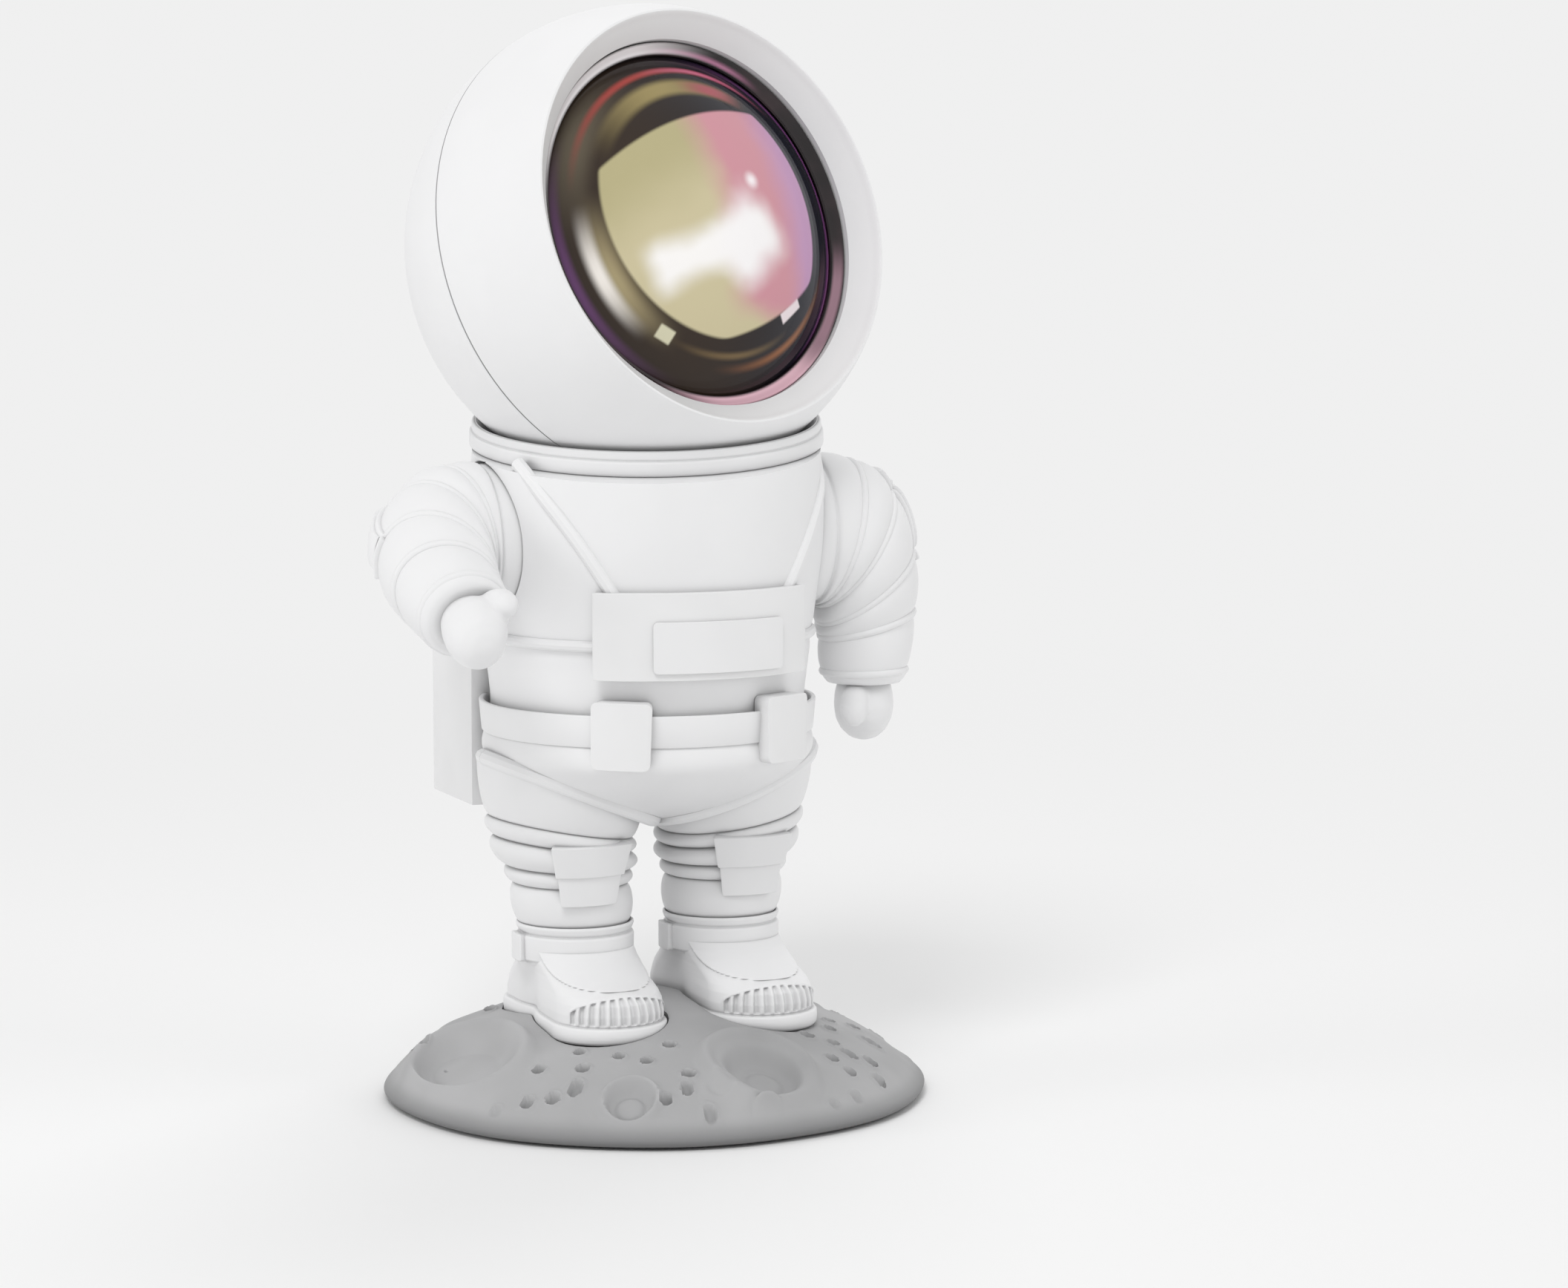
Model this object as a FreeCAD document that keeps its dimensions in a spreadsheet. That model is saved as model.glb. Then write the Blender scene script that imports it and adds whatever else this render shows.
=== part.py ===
import FreeCAD, Part
import math
import os
import re
import Sketcher
from FreeCAD import Vector

# Astronaut figure lamp: a moon-like base, a white figure that stands in two boot pockets, two
# arms that swing at the shoulders, and a round helmet with a coated lens that turns and tilts
# on a magnetic neck cup. Millimetres. The figure faces -Y, its left side is +X, +Z is up and
# the origin is the middle of the base at table height. A size that starts with = follows others.

SIZES = {
    # clearances that many pieces share
    "fit_gap": 0.1, "overcut": 1, "overlap": 0.5, "beyond": 60,
    # base
    "base_diameter": 116, "base_height": 21, "base_edge_level": 5.5,
    "base_foot_diameter": "=base_diameter - 10", "base_foot_round": 7,
    "base_lift": 1, "base_side_wall": 4.5, "base_cavity_rise": 11,
    "cavity_radius": "=base_diameter / 2 - base_side_wall", "cover_seat": 3,
    "cavity_roof": "=cavity_radius - 26", "cover_thickness": 2, "cover_gap": 0.3,
    "pad_radius": 5, "pad_circle": "=base_diameter / 2 - 17", "pad_sink": 0.8,
    "screw_circle": "=base_diameter / 2 - 13", "screw_radius": 1.5, "screw_head_radius": 2.8,
    "screw_head_height": 1.6, "screw_length": 7, "screw_gap": 0.05,
    "crater_rim": 1.3, "crater_rim_sink": 0.5,
    # boots and legs
    "sole_level": 15.8, "sole_thickness": 3.6, "sole_gap": 0.4, "toe_radius": 12.3,
    "heel_radius": 10.7, "toe_reach": 15, "heel_reach": 12, "toe_out": 1,
    "toe_wall": 1.2, "toe_box_height": 6.2, "toe_cap_rise": 3.4, "heel_height": 8.5,
    "boot_top": 30, "stance": 16.5, "boot_ankle_radius": 10.8, "rib_radius": 0.7,
    "rib_height": 5.4, "rib_lean": 9, "rib_pitch": 11, "strap_radius": 12, "strap_width": 4.6,
    "strap_level": 31, "buckle_angle": 34, "buckle_rise": 1.3,
    "ankle_ring_level": 37, "shin_radius": 11.8, "shin_ring_level": 46, "knee_radius": 12.8,
    "knee_ring_level": 48.9, "thigh_width": 17.2, "thigh_depth": 21, "thigh_ring_level": 54.8,
    "garter_level": 57.6, "leg_spread": 2.6, "leg_swell": 1.07, "ring_swell": 1.04,
    "piping": 0.8,
    "knee_pad_rise": 2.4, "knee_pad_level": 49.8, "knee_pad_height": 6.4,
    "knee_flap_rise": 1.4, "knee_flap_level": 43.8, "knee_flap_height": 6.2,
    "knee_pad_angle": 76, "knee_flap_angle": 62, "knee_pad_turn": 3,
    # trunk
    "body_setback": 3, "crotch_level": 57.5, "hip_level": 76, "hip_radius": 33.4,
    "belly_radius": 20, "belly_rise": 3.8, "waist_level": 84, "waist_radius": 33,
    "chest_level": 115, "chest_radius": 36.8, "neck_radius": 35.9, "trunk_wall": 9,
    "hip_slope": 22, "hip_piping_width": 1.8, "hip_piping_rise": 0.7, "cord_level": 98.4,
    "belt_level": 77.4, "belt_height": 6.6, "belt_thickness": 1.6, "belt_flare": 1.6,
    "belt_back": 2, "pouch_angle": 30.5, "pouch_width": 12.7, "pouch_height": 13.8,
    "pouch_level": 73, "pouch_rise": 1.2, "pouch_run": 30, "pouch_round": 1.8,
    "panel_level": 90.6, "panel_height": 18.4, "panel_angle": 76, "panel_radius": 38,
    "label_level": 93.4, "label_height": 10.6, "label_angle": 44, "label_offset": 5,
    "label_thickness": 0.8, "harness_width": 2.6, "harness_rise": 0.8,
    "harness_top": 32.6, "harness_foot": 18,
    # collar, neck cup and magnet
    "collar_tilt": 9, "collar_drop": "=head_level - 141",
    "collar_radius": "=sqrt((head_radius + head_gap)^2 - (collar_drop - collar_lip)^2) + 1.46",
    "collar_height": 4.4, "collar_inner": 31, "collar_lip": 1, "head_gap": 0.8,
    "cup_gap": 0.3, "cup_radius": 23.5, "cup_edge": 4, "cup_clearance": 0.5,
    "spigot_radius": 10, "spigot_level": 118.5, "spigot_top": 123, "spigot_bore": 2,
    "turning_gap": 0.05, "magnet_radius": 8, "magnet_height": 3.8, "magnet_cover": 1.1,
    # arms
    "shoulder_level": 118, "shoulder_radius": 16, "shoulder_plane": 37.2, "hub_plane": 29.8,
    "hub_gap": 0.3, "pin_radius": 4, "pin_end": 23.8, "washer_radius": 6.5,
    "washer_thickness": 1.6, "washer_pocket": 6, "armpit_gap": 3, "arm_reach": 23.4,
    "cuff_drop": 31, "sleeve_swell": 1.05, "wrist_radius": 8, "cuff_height": 3.5,
    "palm_radius": 7.2, "palm_length": 16, "thumb_radius": 2.8, "thumb_length": 10,
    "patch_width": 9, "patch_length": 15, "patch_rise": 1.4, "patch_lean": 37, "patch_sink": 6,
    "right_swing": 67, "left_swing": 0,
    # backpack
    "pack_width": 66, "pack_bottom": 58, "pack_height": 66, "pack_back": 52, "pack_front": 21,
    "pack_round": 6, "pack_lid_inset": 6, "pack_lid_thickness": 1.2,
    # head
    "head_level": "=128 + head_radius", "head_radius": 50, "head_wall": 2.2, "head_yaw": 17,
    "head_tilt": 16.2, "seam_back": 3, "seam_gap": 0.3, "tongue": 4, "tongue_wall": 1.7,
    "rim_radius": "=head_radius - 6.2", "rim_width": 1.1, "window_radius": 38.7,
    "window_level": 19.3, "flange": 1.8,
    "bezel_radius": 43.2, "bezel_lip": 35.2, "bezel_front": 18.4, "lens_radius": 37,
    "lens_back": 10, "lens_edge": 15, "lens_top": 28.5, "tube_wall": 1.6,
    "tube_rear_radius": 20, "tube_rear": 12, "tube_flange": 2, "lens_screw_circle": 40.2,
    "filter_radius": 25, "filter_level": 1, "filter_thickness": 1.2,
    "board_thickness": 1.6, "emitter_radius": 5, "emitter_height": 2.6, "sink_radius": 20,
    "sink_plate": 3, "fin_length": 13, "fin_thickness": 1.4, "fin_pitch": 4.6,
    "driver_radius": 24, "driver_level": "=head_radius - 13", "post_radius": 2.6,
    "post_circle": 19, "post_start": 3.4, "switch_side": 6, "switch_height": 3.4,
    "button_radius": 5.5, "button_rise": 1.2, "button_edge": 0.6, "button_gap": 0.06,
    "button_skirt": 4, "button_stem": 1.8, "button_travel": 1, "socket_drop": 17, "socket_width": 9.4,
    "socket_height": 3.6, "socket_inset": 4.2, "socket_depth": 6.5, "socket_wall": 0.5,
    "keeper_angle": 24, "keeper_back": 22, "keeper_thickness": 1.6, "keeper_gap": 0.2,
}

doc = FreeCAD.newDocument("AstronautLamp")
sheet = doc.addObject("Spreadsheet::Sheet", "sizes")
for row, alias in enumerate(SIZES, start=1):
    sheet.set("A%d" % row, alias.replace("_", " "))
    sheet.setAlias("B%d" % row, alias)
for row, size in enumerate(SIZES.values(), start=1):
    sheet.set("B%d" % row, str(size))
doc.recompute()

WORD = re.compile(r"[a-z][a-z_]*[a-z]")


def bound(formula):
    """The formula with each size's name pointed at the spreadsheet."""
    return WORD.sub(lambda m: "sizes." + m[0] if m[0] in SIZES else m[0], str(formula))


def value(formula):
    """What a formula of sizes comes to now, in millimetres or degrees."""
    return float(sheet.evalExpression(str(formula)))


def place(piece, x="0", y="0", z="0", turns=()):
    """Bind a piece's place; turns are (axis letter, angle), the last one made first."""
    axes = {"x": "1; 0; 0", "y": "0; 1; 0", "z": "0; 0; 1"}
    turn = " * ".join("create(<<rotation>>; create(<<vector>>; %s); %s)" % (axes[a], bound(g))
                      for a, g in turns) or "create(<<rotation>>; create(<<vector>>; 0; 0; 1); 0)"
    spot = "create(<<vector>>; %s; %s; %s)" % (bound(x), bound(y), bound(z))
    piece.setExpression("Placement", "create(<<placement>>; %s; %s)" % (spot, turn))
    return piece


def solid(kind, name, spot=None, **sizes):
    """One of the Part workbench's solids, with its sizes and place bound to the sheet."""
    piece = doc.addObject("Part::" + kind, name)
    for prop, formula in sizes.items():
        piece.setExpression(prop, bound(formula))
    return place(piece, **(spot or {}))


def join(name, *pieces):
    whole = doc.addObject("Part::MultiFuse", name)
    whole.Shapes = list(pieces)
    return whole


def cut(name, base, *tools):
    piece = doc.addObject("Part::Cut", name)
    piece.Base = base
    piece.Tool = tools[0] if len(tools) == 1 else join(name + "_tools", *tools)
    return piece


def common(name, *pieces):
    piece = doc.addObject("Part::MultiCommon", name)
    piece.Shapes = list(pieces)
    return piece


def group(name, pieces):
    """Like pieces kept as separate solids in one node."""
    several = doc.addObject("Part::Compound", name)
    several.Links = list(pieces)
    return several


def arc_middle(p, q, radius):
    """The middle of the arc from p to q; a positive radius bulges to the right of the way."""
    chord = (q - p).Length
    rise = abs(radius) - math.sqrt(radius * radius - chord * chord / 4)
    side = Vector((q - p).y, -(q - p).x, 0).normalize()
    return (p + q) * 0.5 + side * math.copysign(rise, radius)


def outline(body, plane, corners):
    """A closed sketch: each corner is (x, y), or (x, y, radius) where an arc leads on."""
    sketch = body.newObject("Sketcher::SketchObject", body.Name + "_outline")
    origin = [f for f in body.Origin.OriginFeatures if f.Role == plane][0]
    sketch.AttachmentSupport = [(origin, "")]
    sketch.MapMode = "FlatFace"
    points = [Vector(value(c[0]), value(c[1]), 0) for c in corners]
    lines, ends = [], []
    for i, corner in enumerate(corners):
        p, q = points[i], points[(i + 1) % len(points)]
        if len(corner) == 3:
            radius = value(corner[2])
            lines.append(Part.Arc(p, arc_middle(p, q, radius), q))
            ends.append((1, 2) if radius > 0 else (2, 1))
        else:
            lines.append(Part.LineSegment(p, q))
            ends.append((1, 2))
    sketch.addGeometry(lines, False)
    rules, names = [], []
    for i, corner in enumerate(corners):
        after = (i + 1) % len(corners)
        rules.append(Sketcher.Constraint("Coincident", i, ends[i][1], after, ends[after][0]))
        names.append(None)
        for word, number, formula in (("DistanceX", points[i].x, corner[0]),
                                      ("DistanceY", points[i].y, corner[1])):
            rules.append(Sketcher.Constraint(word, -1, 1, i, ends[i][0], number))
            names.append((word[-1].lower() + str(i), formula))
        if len(corner) == 3:
            rules.append(Sketcher.Constraint("Radius", i, abs(value(corner[2]))))
            names.append(("arc" + str(i), "abs(%s)" % corner[2]))
    sketch.addConstraint(rules)
    for index, label in enumerate(names):
        if label:
            sketch.renameConstraint(index, label[0])
            sketch.setExpression("Constraints." + label[0], bound(label[1]))
    return sketch


def turned(name, corners, spot=None):
    """A body revolved about its own Z from an outline of (radius, height) corners."""
    body = doc.addObject("PartDesign::Body", name)
    sketch = outline(body, "XZ_Plane", corners)
    spin = body.newObject("PartDesign::Revolution", name + "_spin")
    spin.Profile = sketch
    spin.ReferenceAxis = (sketch, ["V_Axis"])
    spin.Angle = 360
    return place(body, **(spot or {}))


def plate(name, corners, thickness, spot=None, rounding=None):
    """A body padded up from an outline in its XY plane, with its upright edges rounded."""
    body = doc.addObject("PartDesign::Body", name)
    sketch = outline(body, "XY_Plane", corners)
    pad = body.newObject("PartDesign::Pad", name + "_pad")
    pad.Profile = sketch
    pad.setExpression("Length", bound(thickness))
    if rounding:
        doc.recompute()
        fillet = body.newObject("PartDesign::Fillet", name + "_fillet")
        picked = [i for i, e in enumerate(pad.Shape.Edges, start=1) if rounding[1](e)]
        fillet.Base = (pad, ["Edge%d" % i for i in picked])
        fillet.setExpression("Radius", bound(rounding[0]))
    return place(body, **(spot or {}))


def loft(name, sections, spot=None):
    """A smooth solid through ellipses of (x, y, z, half width, half depth, lean about Y)."""
    rings = []
    for i, (x, y, z, wide, deep, lean) in enumerate(sections):
        ring = doc.addObject("Part::Ellipse", "%s_ring%d" % (name, i))
        across = value(wide) >= value(deep)
        ring.setExpression("MajorRadius", bound(wide if across else deep))
        ring.setExpression("MinorRadius", bound(deep if across else wide))
        place(ring, x, y, z, [("y", lean), ("z", "0" if across else "90")])
        rings.append(ring)
    skin = doc.addObject("Part::Loft", name)
    skin.Sections = rings
    skin.Solid = True
    return place(skin, **(spot or {}))


def puff(name, low, high, swell):
    """A soft barrel between two rings, swollen in the middle."""
    middle = ["((%s) + (%s)) / 2" % pair for pair in zip(low, high)]
    middle[3], middle[4] = middle[3] + " * " + swell, middle[4] + " * " + swell
    return loft(name, [low, middle, high])


def puffs(name, rings, swells):
    return [puff("%s%d" % (name, i), low, high, swell)
            for i, (low, high, swell) in enumerate(zip(rings, rings[1:], swells))]


def band(name, inner, outer, level, height, angle, middle):
    """A curved plate: part of a ring about the body's axis, facing `middle` degrees left."""
    start = "270 + (%s) - (%s) / 2" % (middle, angle)
    spot = dict(y="body_setback", z=level, turns=[("z", start)])
    whole = solid("Cylinder", name + "_outside", spot, Radius=outer, Height=height, Angle=angle)
    hole = dict(y="body_setback", z="(%s) - overcut" % level)
    inside = solid("Cylinder", name + "_inside", hole, Radius=inner,
                   Height="(%s) + 2 * overcut" % height)
    return cut(name, whole, inside)


finished = []


def finish(node, piece):
    piece.Label = node
    finished.append(piece)
    return piece


# ---------------------------------------------------------------- moon base
DOME = "((base_diameter / 2)^2 + (base_height - base_edge_level)^2)" \
       " / (2 * (base_height - base_edge_level))"
EDGE = "base_diameter / 2"


def boot_spot(side, level):
    return dict(x="%d * stance" % side, y="body_setback", z=level,
                turns=[("z", "%d * toe_out" % side)])


def sole(name, grow, thickness, spot):
    """A boot's sole, toe towards -Y, with a round toe and heel."""
    toe, heel = "(toe_radius + %s)" % grow, "(heel_radius + %s)" % grow
    return plate(name, [
        ("-" + toe, "-toe_reach", toe), ("0", "-toe_reach - " + toe, toe), (toe, "-toe_reach"),
        (heel, "heel_reach", heel), ("0", "heel_reach + " + heel, heel),
        ("-" + heel, "heel_reach")], thickness, spot)


dome = turned("dome", [
    ("0", "base_lift"), ("base_foot_diameter / 2", "base_lift", "base_foot_round"),
    (EDGE, "base_edge_level", DOME), ("0", "base_height")])
COVER_TOP = "base_lift + cover_thickness + cover_gap"
hollow = turned("hollow", [
    ("0", "base_lift - overcut"), ("cavity_radius - cover_seat", "base_lift - overcut"),
    ("cavity_radius - cover_seat", COVER_TOP), ("cavity_radius - 2 * cover_seat", COVER_TOP),
    ("cavity_radius - 3 * cover_seat", "base_edge_level"), ("cavity_roof", "base_cavity_rise"),
    ("0", "base_cavity_rise")])
pockets = [sole("pocket%d" % side, "sole_gap", "base_height", boot_spot(side, "sole_level"))
           for side in (-1, 1)]

# large craters: direction in degrees left of the front, distance out, radius, depth and
# whether a raised rim runs round it
CRATERS = [(-82, 43.5, 11, 1.9, 1), (9.5, 43, 10.8, 1.5, 1), (9.5, 43.6, 9, 2.4, 0),
           (-26.5, 50, 5.4, 1.4, 1), (0, 54, 3.6, 1.0, 0), (118, 41, 9, 1.6, 1),
           (165, 38, 6.5, 1.3, 0), (-140, 42, 10, 1.8, 1)]
# small pits: direction, distance and radius
PITS = [(-15.4, 32.6, 1.3), (-11.7, 43.4, 1.3), (-18.3, 50.2, 1.3), (-23.1, 38.7, 1.2),
        (-31.9, 37.2, 1.2), (-45.2, 36.6, 1.2), (-40.9, 42, 1.4), (-44.7, 50.5, 1.4),
        (-62.1, 41.4, 1.3), (-52.9, 44.1, 1.3), (-50.1, 52.2, 1.3), (-56.7, 54.9, 1.3),
        (66, 37.2, 1.2), (55.3, 38, 1.3), (39.8, 36.5, 1.4), (70.3, 42.4, 1.4),
        (43.5, 41.4, 1.2), (33.6, 45.1, 1.3), (45.6, 49.2, 1.5), (33.8, 49.5, 1.2),
        (40.7, 53.1, 1.4), (29.1, 54.6, 1.5), (21.9, 54.7, 1.4), (-13, 47.6, 1.2),
        (-40.3, 47.4, 1.5), (-11.7, 54.5, 1.5), (41.4, 45.6, 1.4), (60.4, 46.3, 1.5),
        (85, 50, 1.2), (100, 47, 1.3), (140, 50, 1.3), (-100, 47, 1.4), (-115, 51, 1.2),
        (-165, 48, 1.3), (-125, 36, 1.1)]
PATTERN_DIAMETER = 116


def on_dome(turn, out, above):
    """The place that far off the dome's skin at a direction and distance, leaning with it."""
    reach = "(%g * base_diameter / %d)" % (out, PATTERN_DIAMETER)
    grown = "(1 + (%s) / (%s))" % (above, DOME)
    return dict(x="%s * %s * sin(%g)" % (grown, reach, turn),
                y="-%s * %s * cos(%g)" % (grown, reach, turn),
                z="base_height - (%s) + %s * sqrt((%s)^2 - %s^2)" % (DOME, grown, DOME, reach),
                turns=[("z", "%g" % turn), ("x", "asin(%s / (%s))" % (reach, DOME))])


def dent(name, turn, out, radius, depth):
    """A ball that bites a round hollow of that radius and depth out of the dome."""
    ball = (radius * radius + depth * depth) / (2 * depth)
    return solid("Sphere", name, on_dome(turn, out, "%g" % (ball - depth)), Radius="%g" % ball)


dents = [dent("crater%d" % i, *c[:4]) for i, c in enumerate(CRATERS)]
dents += [dent("pit%d" % i, t, d, r, r * 0.7) for i, (t, d, r) in enumerate(PITS)]
rims = [solid("Torus", "crater_rim%d" % i, on_dome(turn, out, "-crater_rim_sink"),
              Radius1="%g" % radius, Radius2="crater_rim")
        for i, (turn, out, radius, _, rimmed) in enumerate(CRATERS) if rimmed]


def about_base(i, count, circle, level):
    turn = "%g" % (360 * (i + 0.5) / count)
    return dict(x="%s * cos(%s)" % (circle, turn), y="%s * sin(%s)" % (circle, turn), z=level)


SCREWS = 4
PADS = 4
screw_holes = [solid("Cylinder", "screw_hole%d" % i,
                     about_base(i + 0.5, SCREWS, "screw_circle", "base_lift"),
                     Radius="screw_radius + screw_gap", Height="screw_length + overcut")
               for i in range(SCREWS)]
finish("moon_base", cut("moon_base", join("rimmed_dome", dome, *rims), hollow, *pockets, *dents,
                        *screw_holes))

cover_disc = solid("Cylinder", "cover_disc", dict(z="base_lift"),
                   Radius="cavity_radius - cover_seat - cover_gap", Height="cover_thickness")
pad_seats = [solid("Cylinder", "pad_seat%d" % i, about_base(i, PADS, "pad_circle", "0"),
                   Radius="pad_radius + fit_gap", Height="base_lift + pad_sink")
             for i in range(PADS)]
cover_holes = [solid("Cylinder", "cover_hole%d" % i,
                     about_base(i + 0.5, SCREWS, "screw_circle", "base_lift - overcut"),
                     Radius="screw_radius + screw_gap",
                     Height="cover_thickness + 2 * overcut")
               for i in range(SCREWS)]
head_seats = [solid("Cylinder", "head_seat%d" % i,
                    about_base(i + 0.5, SCREWS, "screw_circle", "base_lift - overcut"),
                    Radius="screw_head_radius + 2 * fit_gap",
                    Height="overcut + screw_head_height / 2")
              for i in range(SCREWS)]
finish("base_cover", cut("base_cover", cover_disc, *pad_seats, *cover_holes, *head_seats))
finish("foot_pads", group("foot_pads", [
    solid("Cylinder", "pad%d" % i, about_base(i, PADS, "pad_circle", "0"),
          Radius="pad_radius", Height="base_lift + pad_sink") for i in range(PADS)]))


def screw(name, spot, turns, length):
    """A pan-head screw, its head's top at the spot and its shank along the turned Z."""
    spot = dict(spot, turns=turns)
    shank = solid("Cylinder", name + "_shank", {}, Radius="screw_radius", Height=length)
    top = solid("Cone", name + "_top", {}, Radius1="screw_head_radius * 0.7",
                Radius2="screw_head_radius", Height="screw_head_height / 2")
    return place(join(name, shank, top), **spot)


finish("base_screws", group("base_screws", [
    screw("base_screw%d" % i, about_base(i + 0.5, SCREWS, "screw_circle", "base_lift"), [],
          "screw_length")
    for i in range(SCREWS)]))


# ---------------------------------------------------------------- boots and legs
RIBS = 11


def boot(word, side):
    """Sole, boxy toe with ribs and a rounded border, instep, heel and ankle."""
    bottom = sole(word + "_sole", "0", "sole_thickness", {})
    seat, toe_y = "sole_thickness - overlap", "-toe_reach + overcut"
    skin, top = "(toe_radius - toe_wall)", "(toe_radius - 2 * toe_wall)"
    cap_level = "sole_thickness + toe_box_height"
    wall = loft(word + "_toe_wall", [
        ("0", toe_y, seat, skin, skin, "0"),
        ("0", toe_y, "sole_thickness + toe_box_height / 2", skin, skin, "0"),
        ("0", toe_y, cap_level, top, top, "0")])
    cap = solid("Ellipsoid", word + "_toe_cap", dict(y=toe_y, z=cap_level + " - overlap / 2"),
                Radius1="toe_cap_rise", Radius2=top, Radius3=top, Angle1="0", Angle2="90")
    border = solid("Torus", word + "_toe_border", dict(y=toe_y, z=cap_level),
                   Radius1=top, Radius2="piping")
    instep = loft(word + "_instep", [
        ("0", "-3", seat, skin, "heel_reach + 4", "0"),
        ("0", "-1.5", "sole_thickness + 5", skin, "heel_reach + 1", "0"),
        ("0", "0", "boot_top - sole_level", "boot_ankle_radius", "boot_ankle_radius", "0")])
    heel = solid("Ellipsoid", word + "_heel", dict(y="heel_reach - overcut", z=seat),
                 Radius1="heel_height", Radius2="heel_radius - toe_wall",
                 Radius3="heel_radius - toe_wall", Angle1="0", Angle2="90")
    ribs = []
    for i in range(RIBS):
        turn = "(%g * rib_pitch)" % (i - (RIBS - 1) / 2)
        spot = dict(x="%s * sin(%s)" % (skin, turn), y="%s - %s * cos(%s)" % (toe_y, skin, turn),
                    z=seat, turns=[("z", turn), ("x", "-rib_lean")])
        ribs.append(solid("Cylinder", "%s_rib%d" % (word, i), spot,
                          Radius="rib_radius", Height="rib_height"))
    whole = join(word, bottom, wall, cap, border, heel, instep, *ribs)
    return place(whole, **boot_spot(side, "sole_level"))


def sloped(name, side, low, thickness):
    """A slab over one side, from a height above the plane that slopes up from the crotch."""
    turn = "(-%d * hip_slope)" % side
    start = "(-overcut)" if side > 0 else "(overcut - beyond)"
    return solid("Box", name, dict(
        x="%s * cos(%s) + (%s) * sin(%s)" % (start, turn, low, turn), y="-beyond",
        z="crotch_level - %s * sin(%s) + (%s) * cos(%s)" % (start, turn, low, turn),
        turns=[("y", turn)]), Length="beyond", Width="2 * beyond", Height=thickness)


# a leg's soft rings: level, share of the outward spread, half width and half depth
LEG_RINGS = [
    ("boot_top", 0, "shin_radius - 1", "shin_radius - 1"),
    ("ankle_ring_level", 0, "shin_radius - 0.6", "shin_radius - 0.6"),
    ("shin_ring_level", 0.15, "shin_radius", "shin_radius + 0.3"),
    ("knee_ring_level", 0.3, "knee_radius", "knee_radius + 0.4"),
    ("thigh_ring_level", 0.7, "(knee_radius + thigh_width) / 2 - 0.4",
     "(knee_radius + thigh_depth) / 2 - 0.6"),
    ("garter_level", 0.8, "(knee_radius + thigh_width) / 2 + 0.4",
     "(knee_radius + thigh_depth) / 2 + 0.6"),
    ("hip_level", 1, "thigh_width - 1", "thigh_depth + 2")]
LEG_SWELLS = ["ring_swell", "leg_swell", "ring_swell", "leg_swell", "ring_swell", "leg_swell"]
GARTERS = (2, 4)


def leg(word, side):
    """A leg of soft puffs below the sloping hip line, with rings, strap and knee pads."""
    def ring(level, share, wide, deep):
        return ("%d * (stance + leg_spread * %g)" % (side, share), "body_setback", level,
                wide, deep, "0")

    skin = puffs(word + "_puff", [ring(*row) for row in LEG_RINGS], LEG_SWELLS)
    for i in GARTERS:
        low, high = [ring(level, share, wide + " + piping", deep + " + piping")
                     for level, share, wide, deep in LEG_RINGS[i:i + 2]]
        skin.append(puff("%s_garter%d" % (word, i), low, high, "ring_swell"))
    axis = dict(x="%d * stance" % side, y="body_setback")
    skin.append(solid("Torus", word + "_pipe", dict(axis, z="ankle_ring_level"),
                      Radius1="shin_radius - 0.6", Radius2="piping"))
    skin.append(solid("Cylinder", word + "_strap", dict(axis, z="strap_level"),
                      Radius="strap_radius", Height="strap_width"))
    skin.append(solid("Cylinder", word + "_buckle", dict(
        axis, z="strap_level", turns=[("z", "195 - buckle_angle / 2")]),
        Radius="strap_radius + buckle_rise", Height="strap_width", Angle="buckle_angle"))
    knee = dict(x="%d * (stance + leg_spread / 2)" % side, y="body_setback")
    for flap, low, high, angle, bottom, top in (
            ("pad", "knee_pad_level", "knee_pad_height", "knee_pad_angle",
             "knee_radius + knee_pad_rise", "(knee_radius + thigh_depth) / 2 + knee_pad_rise"),
            ("flap", "knee_flap_level", "knee_flap_height", "knee_flap_angle",
             "shin_radius + knee_pad_rise", "knee_radius + knee_flap_rise")):
        spot = dict(knee, z=low, turns=[("z", "270 - %s / 2 + %d * knee_pad_turn"
                                        % (angle, side))])
        skin.append(solid("Cone", "%s_%s" % (word, flap), spot, Radius1=bottom, Radius2=top,
                          Height=high, Angle=angle))
    return cut(word, join(word + "_whole", *skin), sloped(word + "_hip", side, "0", "beyond"))


legs = {}
for word, side in (("right", -1), ("left", 1)):
    finish(word + "_boot", boot(word + "_boot", side))
    legs[word] = finish(word + "_leg", leg(word + "_leg", side))


# ---------------------------------------------------------------- trunk
def trunk_corners(grow):
    """Half outline of the trunk from the crotch to above the collar, grown outwards."""
    return [("0", "crotch_level - %s" % grow, "53"),
            ("belly_radius + %s" % grow, "crotch_level + belly_rise", "15"),
            ("hip_radius + %s" % grow, "hip_level", "80"),
            ("waist_radius + %s" % grow, "waist_level", "400"),
            ("chest_radius + %s" % grow, "chest_level", "200"),
            ("neck_radius + %s" % grow, "head_level - collar_drop"),
            ("0", "head_level - collar_drop")]


AXIS = dict(y="body_setback")
HEAD = dict(y="body_setback", z="head_level")
COLLAR = dict(HEAD, turns=[("x", "collar_tilt")])
DISH = "(head_radius + head_gap)"
CUP = "(head_radius + cup_gap)"


def dish_level(radius, ball):
    """How far below the head's middle a ball's skin lies at a radius."""
    return "-sqrt(%s^2 - (%s)^2)" % (ball, radius)


trunk_skin = turned("trunk_skin", trunk_corners("0"), AXIS)
waist_cord = solid("Torus", "waist_cord", dict(AXIS, z="cord_level"),
                   Radius1="waist_radius + (chest_radius - waist_radius)"
                           " * (cord_level - waist_level) / (chest_level - waist_level) + 0.6",
                   Radius2="piping")


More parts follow.
